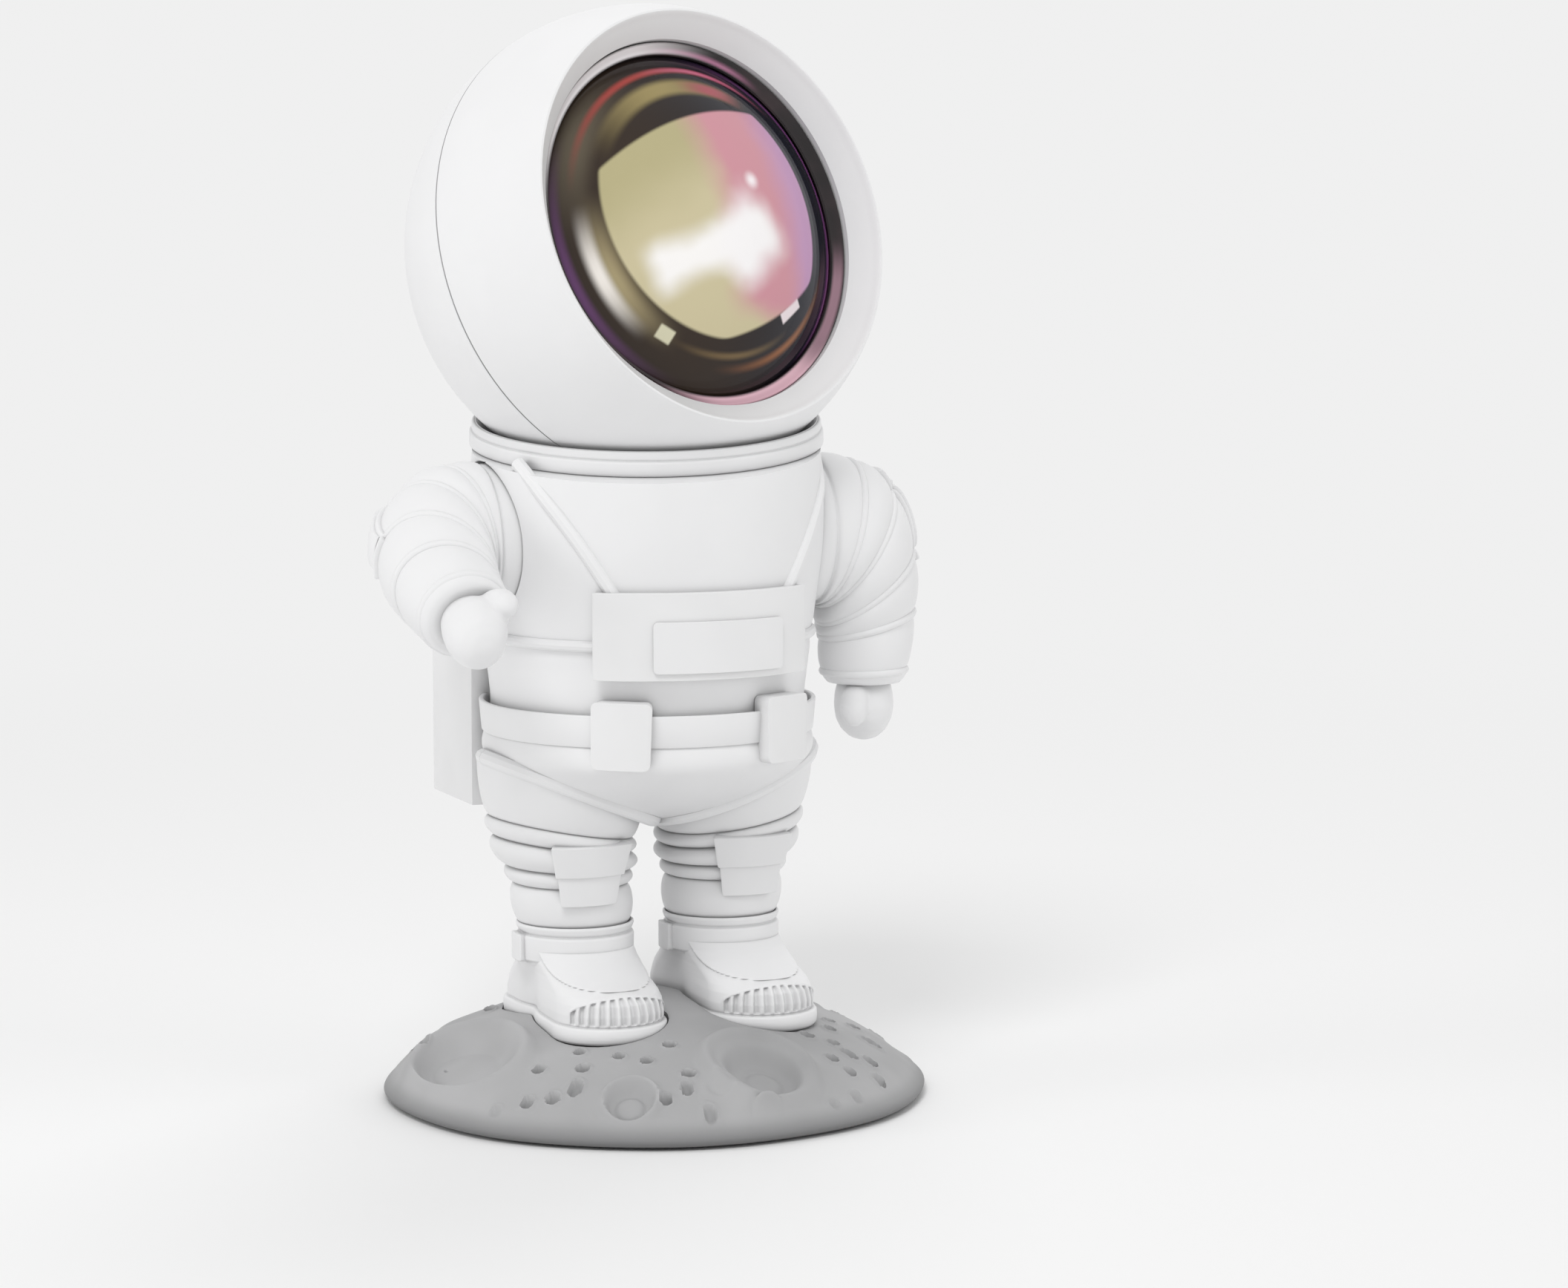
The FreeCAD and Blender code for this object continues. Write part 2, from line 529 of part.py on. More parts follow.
def harness(name, side):
    """A raised strap from the collar to the chest panel, from the grown trunk."""
    run = "(head_level - collar_drop - panel_level - panel_height)"
    lean = "%d * atan((harness_top - harness_foot) / %s)" % (side, run)
    slab = solid("Box", name + "_slab", dict(
        x="%d * harness_foot - harness_width / 2" % side, y="-beyond",
        z="panel_level + panel_height - 2 * overcut", turns=[("y", lean)]),
        Length="harness_width", Width="beyond", Height=run + " + 8 * overcut")
    grown = turned(name + "_grown", trunk_corners("harness_rise"), AXIS)
    return common(name, grown, slab)


def hip_pipings(name, side):
    """Two raised lines along the sloping edge of the hip."""
    slabs = [sloped("%s_slab%d" % (name, i), side, level, "hip_piping_width")
             for i, level in enumerate(("0", "2 * hip_piping_width"))]
    grown = turned(name + "_grown", trunk_corners("hip_piping_rise"), AXIS)
    return common(name, grown, join(name + "_slabs", *slabs))


harnesses = [harness("harness%d" % side, side) for side in (-1, 1)]
pipings = [hip_pipings("hip_piping%d" % side, side) for side in (-1, 1)]
trunk_solid = join("trunk_solid", trunk_skin, waist_cord, *harnesses, *pipings)

collar_space = turned("collar_space", [
    ("collar_inner", "-collar_drop - collar_height"), ("beyond", "-collar_drop - collar_height"),
    ("beyond", "0"), ("collar_inner", "0")], COLLAR)
dish = solid("Sphere", "dish", HEAD, Radius=DISH)
cup_space = turned("cup_space", [
    ("0", "spigot_level - spigot_bore - head_level"),
    ("spigot_radius + turning_gap", "spigot_level - spigot_bore - head_level"),
    ("spigot_radius + turning_gap", "spigot_top - cup_clearance - head_level"),
    ("cup_radius + cup_clearance", dish_level("cup_radius", CUP) + " - cup_edge - cup_clearance"),
    ("cup_radius + cup_clearance", "-head_radius / 2"), ("0", "-head_radius / 2")], HEAD)
core = solid("Cylinder", "core", dict(AXIS, z="hip_level"),
             Radius="waist_radius - trunk_wall", Height="spigot_level - trunk_wall - hip_level")


def along(name, side, start, stop, radius):
    """A cylinder along one shoulder's axis between two distances from the middle."""
    spot = dict(x="%d * (%s)" % (side, start), y="body_setback", z="shoulder_level",
                turns=[("y", "%d * 90" % side)])
    return solid("Cylinder", name, spot, Radius=radius, Height="(%s) - (%s)" % (stop, start))


shoulder_tools = []
for word, side in (("right", -1), ("left", 1)):
    shoulder_tools += [
        along(word + "_socket", side, "hub_plane - hub_gap", "beyond", "shoulder_radius + hub_gap"),
        along(word + "_bore", side, "pin_end - washer_thickness", "hub_plane",
              "pin_radius + turning_gap"),
        along(word + "_pocket", side, "pin_end - washer_pocket",
              "pin_end + washer_thickness + hub_gap", "washer_radius + 2 * hub_gap")]

hip_tools = [sloped("trunk_hip%d" % side, side, "-beyond", "beyond") for side in (-1, 1)]
trunk = cut("trunk", trunk_solid, collar_space, dish, cup_space, core,
            *shoulder_tools, *hip_tools)
front_half, back_half = [
    solid("Box", name, dict(x="-beyond", y=start, z="crotch_level - overcut"),
          Length="2 * beyond", Width="beyond", Height="2 * beyond")
    for name, start in (("front_half", "body_setback - beyond"), ("back_half", "body_setback"))]
finish("torso_front_shell", common("torso_front_shell", trunk, front_half))
finish("torso_back_shell", common("torso_back_shell", trunk, back_half))

finish("collar_ring", turned("collar_ring", [
    ("collar_inner", "-collar_drop - collar_height"),
    ("collar_radius", "-collar_drop - collar_height"), ("collar_radius", "-collar_drop"),
    ("collar_radius - collar_lip", "-collar_drop"),
    ("collar_radius - collar_lip", "-collar_drop + collar_lip"),
    ("sqrt(%s^2 - (collar_drop - collar_lip)^2)" % DISH, "-collar_drop + collar_lip",
     "-%s" % DISH),
    ("collar_inner", dish_level("collar_inner", DISH))], COLLAR))

belt_skin = turned("belt_skin", [
    ("waist_radius - belt_back", "belt_level"), ("hip_radius + belt_thickness", "belt_level"),
    ("hip_radius + belt_thickness + belt_flare", "belt_level + belt_height"),
    ("hip_radius + belt_flare", "belt_level + belt_height"),
    ("hip_radius + belt_thickness - belt_back", "belt_level + belt_back"),
    ("waist_radius - belt_back", "belt_level + belt_back")], AXIS)
belt_whole = cut("belt_whole", belt_skin, trunk_skin)


def pouch(word, side):
    """A rounded pouch that overlaps the belt and hangs below it."""
    half = "pouch_width / 2"
    block = plate(word + "_block", [
        ("-" + half, "-pouch_height / 2"), (half, "-pouch_height / 2"),
        (half, "pouch_height / 2"), ("-" + half, "pouch_height / 2")], "pouch_run",
        rounding=("pouch_round", lambda e: abs(e.Vertexes[0].Z - e.Vertexes[-1].Z) > 1))
    reach = "(hip_radius + belt_thickness + belt_flare + pouch_rise - pouch_run)"
    turn = "%d * pouch_angle" % side
    return place(block, "%s * sin(%s)" % (reach, turn),
                 "body_setback - %s * cos(%s)" % (reach, turn),
                 "pouch_level + pouch_height / 2", [("z", turn), ("x", "90")])


pack_box = plate("pack_box", [
    ("-pack_width / 2", "pack_front"), ("pack_width / 2", "pack_front"),
    ("pack_width / 2", "pack_back"), ("-pack_width / 2", "pack_back")], "pack_height",
    dict(z="pack_bottom"),
    rounding=("pack_round", lambda e: min(v.Y for v in e.Vertexes) > value("pack_back - fit_gap")))
finish("belt", cut("belt", belt_whole, pack_box))
for word, side in (("right", -1), ("left", 1)):
    finish("belt_pouch_" + word,
           cut("belt_pouch_" + word, pouch(word, side), trunk_skin, belt_whole))

panel = band("panel_band", "waist_radius - belt_back", "panel_radius", "panel_level",
             "panel_height", "panel_angle", "0")
finish("chest_panel", cut("chest_panel", panel, trunk_solid))
finish("chest_plate", band("chest_plate", "panel_radius", "panel_radius + label_thickness",
                           "label_level", "label_height", "label_angle", "label_offset"))

clears = [along(word + "_clear", side, "pin_end", "beyond", "shoulder_radius + overcut")
          for word, side in (("right", -1), ("left", 1))]
pack = pack_box
for i, tool in enumerate([trunk_skin, waist_cord, *pipings, *legs.values(), *clears]):
    pack = cut("pack_cut%d" % i, pack, tool)
finish("backpack", pack)
lid_half = "(pack_width / 2 - pack_lid_inset)"
finish("backpack_lid", plate("backpack_lid", [
    ("-" + lid_half, "pack_bottom + pack_lid_inset"), (lid_half, "pack_bottom + pack_lid_inset"),
    (lid_half, "pack_bottom + pack_height - pack_lid_inset"),
    ("-" + lid_half, "pack_bottom + pack_height - pack_lid_inset")], "pack_lid_thickness",
    dict(y="pack_back + pack_lid_thickness", turns=[("x", "90")])))

# ---------------------------------------------------------------- neck
cup_skin = turned("cup_skin", [
    ("0", "spigot_level - head_level"), ("spigot_radius", "spigot_level - head_level"),
    ("spigot_radius", "spigot_top - head_level"),
    ("cup_radius", dish_level("cup_radius", CUP) + " - cup_edge"),
    ("cup_radius", dish_level("cup_radius", CUP), "-" + CUP), ("0", "-" + CUP)], HEAD)
MAGNET_LEVEL = "head_level - head_radius - cup_gap - magnet_cover - magnet_height"
magnet_seat = solid("Cylinder", "magnet_seat", dict(AXIS, z="spigot_level - overcut"),
                    Radius="magnet_radius + fit_gap",
                    Height="%s + magnet_height - spigot_level + overcut" % MAGNET_LEVEL)
finish("neck_cup", cut("neck_cup", cup_skin, magnet_seat))
finish("neck_magnet", solid("Cylinder", "neck_magnet", dict(AXIS, z=MAGNET_LEVEL),
                            Radius="magnet_radius", Height="magnet_height"))


# ---------------------------------------------------------------- arms
# inner and outer points of the sleeve's rings from the shoulder to the cuff: x outwards from
# the shoulder plane, z up from the swing axis
SLEEVE = [
    ("0", "-shoulder_radius", "0", "shoulder_radius"),
    ("armpit_gap * 0.4", "-shoulder_radius + 0.3", "arm_reach * 0.38", "shoulder_radius * 0.91"),
    ("armpit_gap * 0.7", "-shoulder_radius - 0.6", "arm_reach * 0.74", "shoulder_radius * 0.51"),
    ("armpit_gap * 0.93", "-cuff_drop * 0.67", "arm_reach * 0.965", "-cuff_drop * 0.15"),
    ("armpit_gap", "-cuff_drop * 0.76", "arm_reach", "-cuff_drop * 0.57"),
    ("armpit_gap + 0.4", "-cuff_drop", "arm_reach - 1.6", "-cuff_drop + 0.4")]


def sleeve_ring(in_x, in_z, out_x, out_z):
    """The circle across the sleeve from its inner to its outer point."""
    run, rise = "((%s) - (%s))" % (out_x, in_x), "((%s) - (%s))" % (out_z, in_z)
    radius = "sqrt(%s^2 + %s^2) / 2" % (run, rise)
    return ("((%s) + (%s)) / 2" % (in_x, out_x), "0", "((%s) + (%s)) / 2" % (in_z, out_z),
            radius, radius, "-atan2(%s; %s)" % (rise, run))


def arm_pieces():
    """The left arm hanging straight down, in the shoulder's own frame."""
    rings = [sleeve_ring(*points) for points in SLEEVE]
    pieces = puffs("sleeve", rings, ["sleeve_swell"] * len(rings))
    for i, (x, y, z, radius, _, lean) in enumerate(rings[1:]):
        pieces.append(solid("Torus", "arm_pipe%d" % i, dict(x=x, z=z, turns=[("y", lean)]),
                            Radius1=radius, Radius2="piping"))
    wrist = rings[-1][0]
    pieces.append(solid("Cylinder", "arm_hub", dict(
        x="hub_plane - shoulder_plane", turns=[("y", "90")]),
        Radius="shoulder_radius", Height="shoulder_plane - hub_plane"))
    pieces.append(solid("Cylinder", "arm_pin", dict(
        x="pin_end - shoulder_plane", turns=[("y", "90")]),
        Radius="pin_radius", Height="shoulder_plane - pin_end"))
    pieces.append(solid("Cylinder", "arm_cuff", dict(
        x=wrist, z="-cuff_drop - cuff_height + overcut"),
        Radius="wrist_radius", Height="cuff_height"))
    pieces.append(solid("Ellipsoid", "arm_palm", dict(x=wrist, z="-cuff_drop - palm_radius"),
                        Radius1="palm_length / 2", Radius2="palm_radius - overcut",
                        Radius3="palm_radius"))
    pieces.append(solid("Ellipsoid", "arm_thumb", dict(
        x=wrist + " - 3", y="overcut - palm_radius", z="-cuff_drop - palm_radius + overcut",
        turns=[("x", "20")]), Radius1="thumb_length / 2", Radius2="thumb_radius",
        Radius3="thumb_radius"))
    grown = puffs("patch_sleeve", [r[:3] + (r[3] + " + patch_rise", r[4] + " + patch_rise", r[5])
                                   for r in rings[:4]], ["sleeve_swell"] * 3)
    block = solid("Box", "patch_block", dict(
        x="arm_reach * 0.56 - patch_length / 2 * cos(patch_lean) - patch_sink * sin(patch_lean)",
        y="-patch_width / 2",
        z="shoulder_radius * 0.74 + patch_length / 2 * sin(patch_lean)"
          " - patch_sink * cos(patch_lean)", turns=[("y", "patch_lean")]),
        Length="patch_length", Width="patch_width", Height="3 * patch_sink")
    pieces.append(common("arm_patch", join("patch_grown", *grown), block))
    return pieces


def clip(name, side):
    """The washer inside the torso that keeps an arm's pin in its bore."""
    turn = [("y", "%d * 90" % side)]
    washer = solid("Cylinder", name + "_washer", dict(
        x="%d * pin_end" % side, y="body_setback", z="shoulder_level", turns=turn),
        Radius="washer_radius", Height="washer_thickness")
    bore = solid("Cylinder", name + "_bore", dict(
        x="%d * (pin_end - overcut)" % side, y="body_setback", z="shoulder_level", turns=turn),
        Radius="pin_radius", Height="washer_thickness + 2 * overcut")
    return cut(name, washer, bore)


pieces = arm_pieces()
mirrored = doc.addObject("Part::Mirroring", "right_arm")
mirrored.Source = join("arm_pattern", *pieces)
mirrored.Normal = (1, 0, 0)
for word, side, sleeve in (("right_arm", -1, mirrored), ("left_arm", 1, join("left_arm", *pieces))):
    swing = word.split("_")[0] + "_swing"
    finish(word, place(sleeve, "%d * shoulder_plane" % side, "body_setback", "shoulder_level",
                       [("x", "-" + swing)]))
    finish(word + "_clip", clip(word + "_clip", side))

# ---------------------------------------------------------------- head
LENS = dict(HEAD, turns=[("z", "head_yaw"), ("x", "90 - head_tilt")])
INSIDE = "(head_radius - head_wall)"


def skin_at(level, ball):
    """Radius of a ball's skin at a level along the lens axis."""
    return "sqrt(%s^2 - (%s)^2)" % (ball, level)


RIM = "sqrt(head_radius^2 - rim_radius^2)"
finish("helmet_front_shell", turned("helmet_front_shell", [
    (skin_at("seam_back", "head_radius"), "-seam_back", "head_radius"),
    ("rim_radius", RIM), ("rim_radius - rim_width", RIM),
    ("window_radius", "window_level"), ("window_radius", "window_level - flange"),
    (skin_at("window_level - flange", INSIDE), "window_level - flange", "-" + INSIDE),
    (skin_at("seam_back", INSIDE), "-seam_back")], LENS))

REAR = "(seam_back + seam_gap)"
TONGUE = "(%s - keeper_gap)" % skin_at("seam_back", INSIDE)
rear_skin = turned("rear_skin", [
    ("0", "-head_radius", "head_radius"), (skin_at(REAR, "head_radius"), "-" + REAR),
    (TONGUE, "-" + REAR), (TONGUE, "-seam_back + tongue"),
    (TONGUE + " - tongue_wall", "-seam_back + tongue"),
    (TONGUE + " - tongue_wall", "-" + REAR + " - 3"),
    (skin_at(REAR + " + 5", INSIDE), "-" + REAR + " - 5", "-" + INSIDE), ("0", "-" + INSIDE)],
    LENS)


def in_head(x="0", y="0", z="0"):
    """A place in the head's own frame, z along the lens axis and y up, as a world place."""
    up_y, up_z = "sin(head_tilt)", "cos(head_tilt)"
    out_y, out_z = "cos(head_tilt)", "sin(head_tilt)"
    side, back = "(%s)" % x, "((%s) * %s - (%s) * %s)" % (y, up_y, z, out_y)
    return dict(LENS, x="%s * cos(head_yaw) - %s * sin(head_yaw)" % (side, back),
                y="body_setback + %s * sin(head_yaw) + %s * cos(head_yaw)" % (side, back),
                z="head_level + (%s) * %s + (%s) * %s" % (y, up_z, z, out_z))


DRIVER = "-driver_level"
TRIO = (90, 210, 330)
post_spots = [("post_circle * cos(%d)" % a, "post_circle * sin(%d)" % a) for a in TRIO]
posts = [solid("Cylinder", "post%d" % i, in_head(x, y, "-head_radius + post_start"),
               Radius="post_radius",
               Height="head_radius - post_start - driver_level - board_thickness")
         for i, (x, y) in enumerate(post_spots)]
button_hole = solid("Cylinder", "button_hole", in_head(z="-head_radius - overcut"),
                    Radius="button_radius + button_gap", Height="head_wall + 4 * overcut")
socket_hole = solid("Box", "socket_hole", in_head(
    "-socket_width / 2 - fit_gap", "-socket_drop - socket_height / 2 - fit_gap",
    "-head_radius - overcut"), Length="socket_width + 2 * fit_gap",
    Width="socket_height + 2 * fit_gap", Height="socket_inset + socket_depth")
rear_whole = join("rear_whole", rear_skin, common("rear_posts", join("post_set", *posts),
                  solid("Sphere", "post_limit", HEAD, Radius="head_radius - 1")))
finish("helmet_rear_shell", cut("helmet_rear_shell", rear_whole, button_hole, socket_hole))

SEAT = "(window_level - flange)"
lens_screw_spots = [("lens_screw_circle * cos(%d)" % a, "lens_screw_circle * sin(%d)" % a)
                    for a in TRIO]
bezel_skin = turned("bezel_skin", [
    ("lens_radius + fit_gap", "lens_back"), ("bezel_radius", "lens_back"), ("bezel_radius", SEAT),
    ("window_radius - 0.2", SEAT), ("window_radius - 0.2", "bezel_front"),
    ("window_radius - 1.4", "bezel_front"), ("window_radius - 1.8", "bezel_front - 0.6"),
    ("bezel_lip + 0.8", "bezel_front - 1.4"), ("bezel_lip", "lens_edge + 1.9"),
    ("lens_radius + fit_gap", "lens_edge + 0.9")], LENS)
bezel_holes = [solid("Cylinder", "bezel_hole%d" % i, in_head(x, y, "lens_back - 1"),
                     Radius="screw_radius + screw_gap", Height="screw_length - 0.5")
               for i, (x, y) in enumerate(lens_screw_spots)]
finish("lens_bezel", cut("lens_bezel", bezel_skin, *bezel_holes))

LENS_RISE = "(lens_top - lens_edge)"
finish("projection_lens", turned("projection_lens", [
    ("0", "lens_back"), ("lens_radius", "lens_back"),
    ("lens_radius", "lens_edge", "(lens_radius^2 + %s^2) / (2 * %s)" % (LENS_RISE, LENS_RISE)),
    ("0", "lens_top")], LENS))

tube_skin = turned("tube_skin", [
    ("tube_rear_radius - tube_wall", "-tube_rear"), ("tube_rear_radius", "-tube_rear"),
    ("filter_radius + tube_wall", "filter_level"),
    ("lens_radius - 2", "lens_back - tube_flange"), ("bezel_radius", "lens_back - tube_flange"),
    ("bezel_radius", "lens_back"), ("lens_radius - 2 - tube_wall", "lens_back"),
    ("filter_radius", "filter_level + filter_thickness"), ("filter_radius", "filter_level"),
    ("filter_radius - 1.4", "filter_level")], LENS)
tube_holes = [solid("Cylinder", "tube_hole%d" % i, in_head(x, y, "lens_back - 6"),
                    Radius="screw_radius + screw_gap", Height="7")
              for i, (x, y) in enumerate(lens_screw_spots)]
finish("light_tube", cut("light_tube", tube_skin, *tube_holes))
finish("color_filter", solid("Cylinder", "color_filter", in_head(z="filter_level"),
                             Radius="filter_radius - fit_gap", Height="filter_thickness"))
finish("lens_screws", group("lens_screws", [
    place(screw("lens_screw%d" % i, {}, [], "screw_length"),
          **in_head(x, y, "lens_back - tube_flange - screw_head_height / 2"))
    for i, (x, y) in enumerate(lens_screw_spots)]))

BOARD = "(-tube_rear - board_thickness)"
finish("led_board", solid("Cylinder", "led_board", in_head(z=BOARD),
                          Radius="tube_rear_radius", Height="board_thickness"))
finish("led_emitter", solid("Ellipsoid", "led_emitter", in_head(z="-tube_rear"),
                            Radius1="emitter_height", Radius2="emitter_radius",
                            Radius3="emitter_radius", Angle1="0", Angle2="90"))
sink_plate = solid("Cylinder", "sink_plate", in_head(z=BOARD + " - sink_plate"),
                   Radius="sink_radius", Height="sink_plate")
FINS = 7
fins = [solid("Box", "fin%d" % i, in_head("%g * fin_pitch - fin_thickness / 2" % (i - 3),
                                          "-sink_radius", BOARD + " - sink_plate - fin_length"),
              Length="fin_thickness", Width="2 * sink_radius", Height="fin_length + 0.5")
        for i in range(FINS)]
fin_limit = solid("Cylinder", "fin_limit", in_head(z=BOARD + " - sink_plate - fin_length"),
                  Radius="sink_radius", Height="fin_length + 1")
finish("heat_sink", join("heat_sink", sink_plate,
                         common("fin_set", join("fin_blocks", *fins), fin_limit)))

finish("driver_board", solid("Cylinder", "driver_board",
                             in_head(z=DRIVER + " - board_thickness"),
                             Radius="driver_radius", Height="board_thickness"))
finish("power_switch", solid("Box", "power_switch", in_head(
    "-switch_side / 2", "-switch_side / 2", DRIVER + " - board_thickness - switch_height"),
    Length="switch_side", Width="switch_side", Height="switch_height"))
STEM_END = "driver_level + board_thickness + switch_height + button_travel + fit_gap"
finish("power_button", turned("power_button", [
    ("0", "-head_radius - button_rise"),
    ("button_radius - button_edge", "-head_radius - button_rise"),
    ("button_radius", "-head_radius - button_rise + button_edge"),
    ("button_radius", "-head_radius - button_rise + button_skirt"),
    ("button_stem", "-head_radius - button_rise + button_skirt"),
    ("button_stem", "-(%s)" % STEM_END), ("0", "-(%s)" % STEM_END)], LENS))

socket_can = solid("Box", "socket_can", in_head(
    "-socket_width / 2", "-socket_drop - socket_height / 2", "-head_radius + socket_inset"),
    Length="socket_width", Width="socket_height", Height="socket_depth")
socket_mouth = solid("Box", "socket_mouth", in_head(
    "-socket_width / 2 + socket_wall", "-socket_drop - socket_height / 2 + socket_wall",
    "-head_radius"), Length="socket_width - 2 * socket_wall",
    Width="socket_height - 2 * socket_wall", Height="socket_depth")
finish("power_socket", cut("power_socket", socket_can, socket_mouth))

KEEPER = "(head_radius - head_wall - keeper_gap)"
keeper_in = "(%s - keeper_thickness)" % KEEPER
finish("neck_keeper", turned("neck_keeper", [
    ("0", "-" + KEEPER, KEEPER),
    (KEEPER + " * sin(keeper_angle)", "-%s * cos(keeper_angle)" % KEEPER),
    (keeper_in + " * sin(keeper_angle)", "-%s * cos(keeper_angle)" % keeper_in,
     "-" + keeper_in),
    ("0", "-" + keeper_in)],
    dict(HEAD, turns=[("z", "head_yaw"), ("x", "keeper_back")])))

# ---------------------------------------------------------------- check and write
doc.recompute()
for thing in doc.Objects:
    if "Invalid" in thing.State or "Error" in thing.State:
        raise RuntimeError("%s failed to build: %s" % (thing.Name, thing.State))
for piece in finished:
    shape = piece.Shape
    if shape.isNull() or not shape.isValid() or not shape.Solids:
        raise RuntimeError("%s is not a sound solid" % piece.Label)
os.makedirs("parts", exist_ok=True)
for piece in finished:
    piece.Shape.exportStep("parts/%s.step" % piece.Label)
    print("%-20s %d solid(s) %9.1f mm3" % (piece.Label, len(piece.Shape.Solids),
                                           piece.Shape.Volume))
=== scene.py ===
"""Astronaut figure lamp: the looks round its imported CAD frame.

Laid out as an add-on and run as a script. Sizes in the tables are millimetres and are made
metres by MM. The figure faces -Y, its left side is +X and the table is at z = 0.
"""

from math import asin, atan2, cos, degrees, exp, hypot, pi, radians, sin, sqrt

import bmesh
import bpy
import numpy as np
from bpy.props import FloatProperty, FloatVectorProperty, PointerProperty
from bpy.types import Operator, Panel, PropertyGroup
from mathutils import Matrix, Vector


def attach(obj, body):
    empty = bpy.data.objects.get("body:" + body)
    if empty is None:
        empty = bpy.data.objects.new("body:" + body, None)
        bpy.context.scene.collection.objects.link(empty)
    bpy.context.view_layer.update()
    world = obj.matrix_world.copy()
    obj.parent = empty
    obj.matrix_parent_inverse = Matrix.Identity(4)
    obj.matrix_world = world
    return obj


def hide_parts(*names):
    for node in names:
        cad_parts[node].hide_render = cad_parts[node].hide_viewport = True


bl_info = {
    "name": "Astronaut figure lamp", "version": (1, 0), "blender": (4, 5, 0),
    "location": "View3D > Sidebar > Lamp",
    "description": "Dresses the packed frame of an astronaut figure projection lamp",
    "category": "Object",
}

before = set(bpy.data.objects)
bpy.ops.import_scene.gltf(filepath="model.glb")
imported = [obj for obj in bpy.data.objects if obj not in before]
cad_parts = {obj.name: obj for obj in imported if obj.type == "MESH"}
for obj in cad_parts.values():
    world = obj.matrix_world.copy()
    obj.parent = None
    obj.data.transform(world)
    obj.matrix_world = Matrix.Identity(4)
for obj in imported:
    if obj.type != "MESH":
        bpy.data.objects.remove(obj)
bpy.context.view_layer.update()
MM = 0.001
AXIS_Y, HEAD_Z = 3, 178
HEAD_TURN, HEAD_LIFT = 17, 16.2
SHOULDER_X, SHOULDER_Z, RAISED_ARM = 37.2, 118, -67
HIP_Z, HIP_SLOPE = 57.5, 22
TRUNK_TOP = 143.4
HALF_SEAM = 0.06
LENS_RADIUS = 37
SIDES = (("right", -1), ("left", 1))


# ---------------------------------------------------------------- places
def at(x, y, z):
    return Matrix.Translation(Vector((x, y, z)) * MM)


def turn(angle, axis):
    return Matrix.Rotation(radians(angle), 4, axis)


BODY = at(0, AXIS_Y, 0)
HEAD = at(0, AXIS_Y, HEAD_Z) @ turn(HEAD_TURN, "Z") @ turn(90 - HEAD_LIFT, "X")
# the collar leans 7.8 degrees to the photograph's camera
COLLAR = at(0, AXIS_Y, HEAD_Z) @ turn(-21, "Z") @ turn(7.8, "X") @ turn(21, "Z")


def shoulder(side):
    """The arm's frame at rest, x outwards; the right arm is lifted forward."""
    swing = RAISED_ARM if side < 0 else 0
    return (at(SHOULDER_X * side, AXIS_Y, SHOULDER_Z) @ turn(swing, "X")
            @ Matrix.Diagonal((side, 1, 1, 1)))


def ring(x, y, z, wide, deep=None, lean=0, tip=0):
    """The place of an elliptical ring: middle, half sizes, lean about Y and tip about X."""
    deep = wide if deep is None else deep
    return (at(x, y, z) @ turn(lean, "Y") @ turn(tip, "X")
            @ Matrix.Diagonal((wide * MM, deep * MM, 1, 1)))


def between(low, high, t):
    """The numbers at a share t of the way from one tuple to another."""
    return tuple(a + (b - a) * t for a, b in zip(low, high))


def row_at(rows, level):
    """The row of a table at a level, which is the first number of its rows."""
    for low, high in zip(rows, rows[1:]):
        if level <= high[0]:
            break
    return between(low, high, min((level - low[0]) / (high[0] - low[0]), 1))


def smooth_line(points, steps):
    """Points along a soft curve through the given tuples of numbers, ends included."""
    line = []
    for i in range(len(points) - 1):
        p0, p1 = points[max(i - 1, 0)], points[i]
        p2, p3 = points[i + 1], points[min(i + 2, len(points) - 1)]
        for s in range(steps):
            t = s / steps
            line.append(tuple(
                0.5 * (2 * b + (c - a) * t + (2 * a - 5 * b + 4 * c - d) * t * t
                       + (3 * b - a - 3 * c + d) * t ** 3)
                for a, b, c, d in zip(p0, p1, p2, p3)))
    return line + [tuple(points[-1])]


def soft_step(x, low, high):
    """0 below low, 1 above high and a soft rise between."""
    t = min(max((x - low) / (high - low), 0), 1)
    return t * t * (3 - 2 * t)


# ---------------------------------------------------------------- modelling helpers
def start_clean():
    if bpy.context.object and bpy.context.object.mode != "OBJECT":
        bpy.ops.object.mode_set(mode="OBJECT")
    bpy.ops.object.select_all(action="DESELECT")


def only(piece):
    start_clean()
    bpy.context.view_layer.objects.active = piece
    piece.select_set(True)
    return piece


def fresh(name, shape, **settings):
    """A new primitive mesh of that shape and name."""
    start_clean()
    getattr(bpy.ops.mesh, "primitive_%s_add" % shape)(**settings)
    bpy.context.object.name = name
    return bpy.context.object


def edit(piece):
    """Open the piece in edit mode with its whole mesh selected."""
    only(piece)
    bpy.ops.object.mode_set(mode="EDIT")
    bpy.ops.mesh.select_all(action="SELECT")


def close(piece):
    """Turn every face outwards and leave edit mode."""
    bpy.ops.mesh.select_all(action="SELECT")
    bpy.ops.mesh.normals_make_consistent(inside=False)
    bpy.ops.object.mode_set(mode="OBJECT")
    return piece


def modify(piece, kind, **settings):
    """Add a modifier with those settings and apply it."""
    only(piece)
    tool = piece.modifiers.new(kind.lower(), kind)
    for name, amount in settings.items():
        setattr(tool, name, amount)
    bpy.ops.object.modifier_apply(modifier=tool.name)
    return piece


def soften(piece, width, segments=3, angle=35):
    return modify(piece, "BEVEL", width=width * MM, segments=segments, limit_method="ANGLE",
                  angle_limit=radians(angle), use_clamp_overlap=True, miter_outer="MITER_ARC")


def rounder(piece, levels=1):
    return modify(piece, "SUBSURF", levels=levels, render_levels=levels)


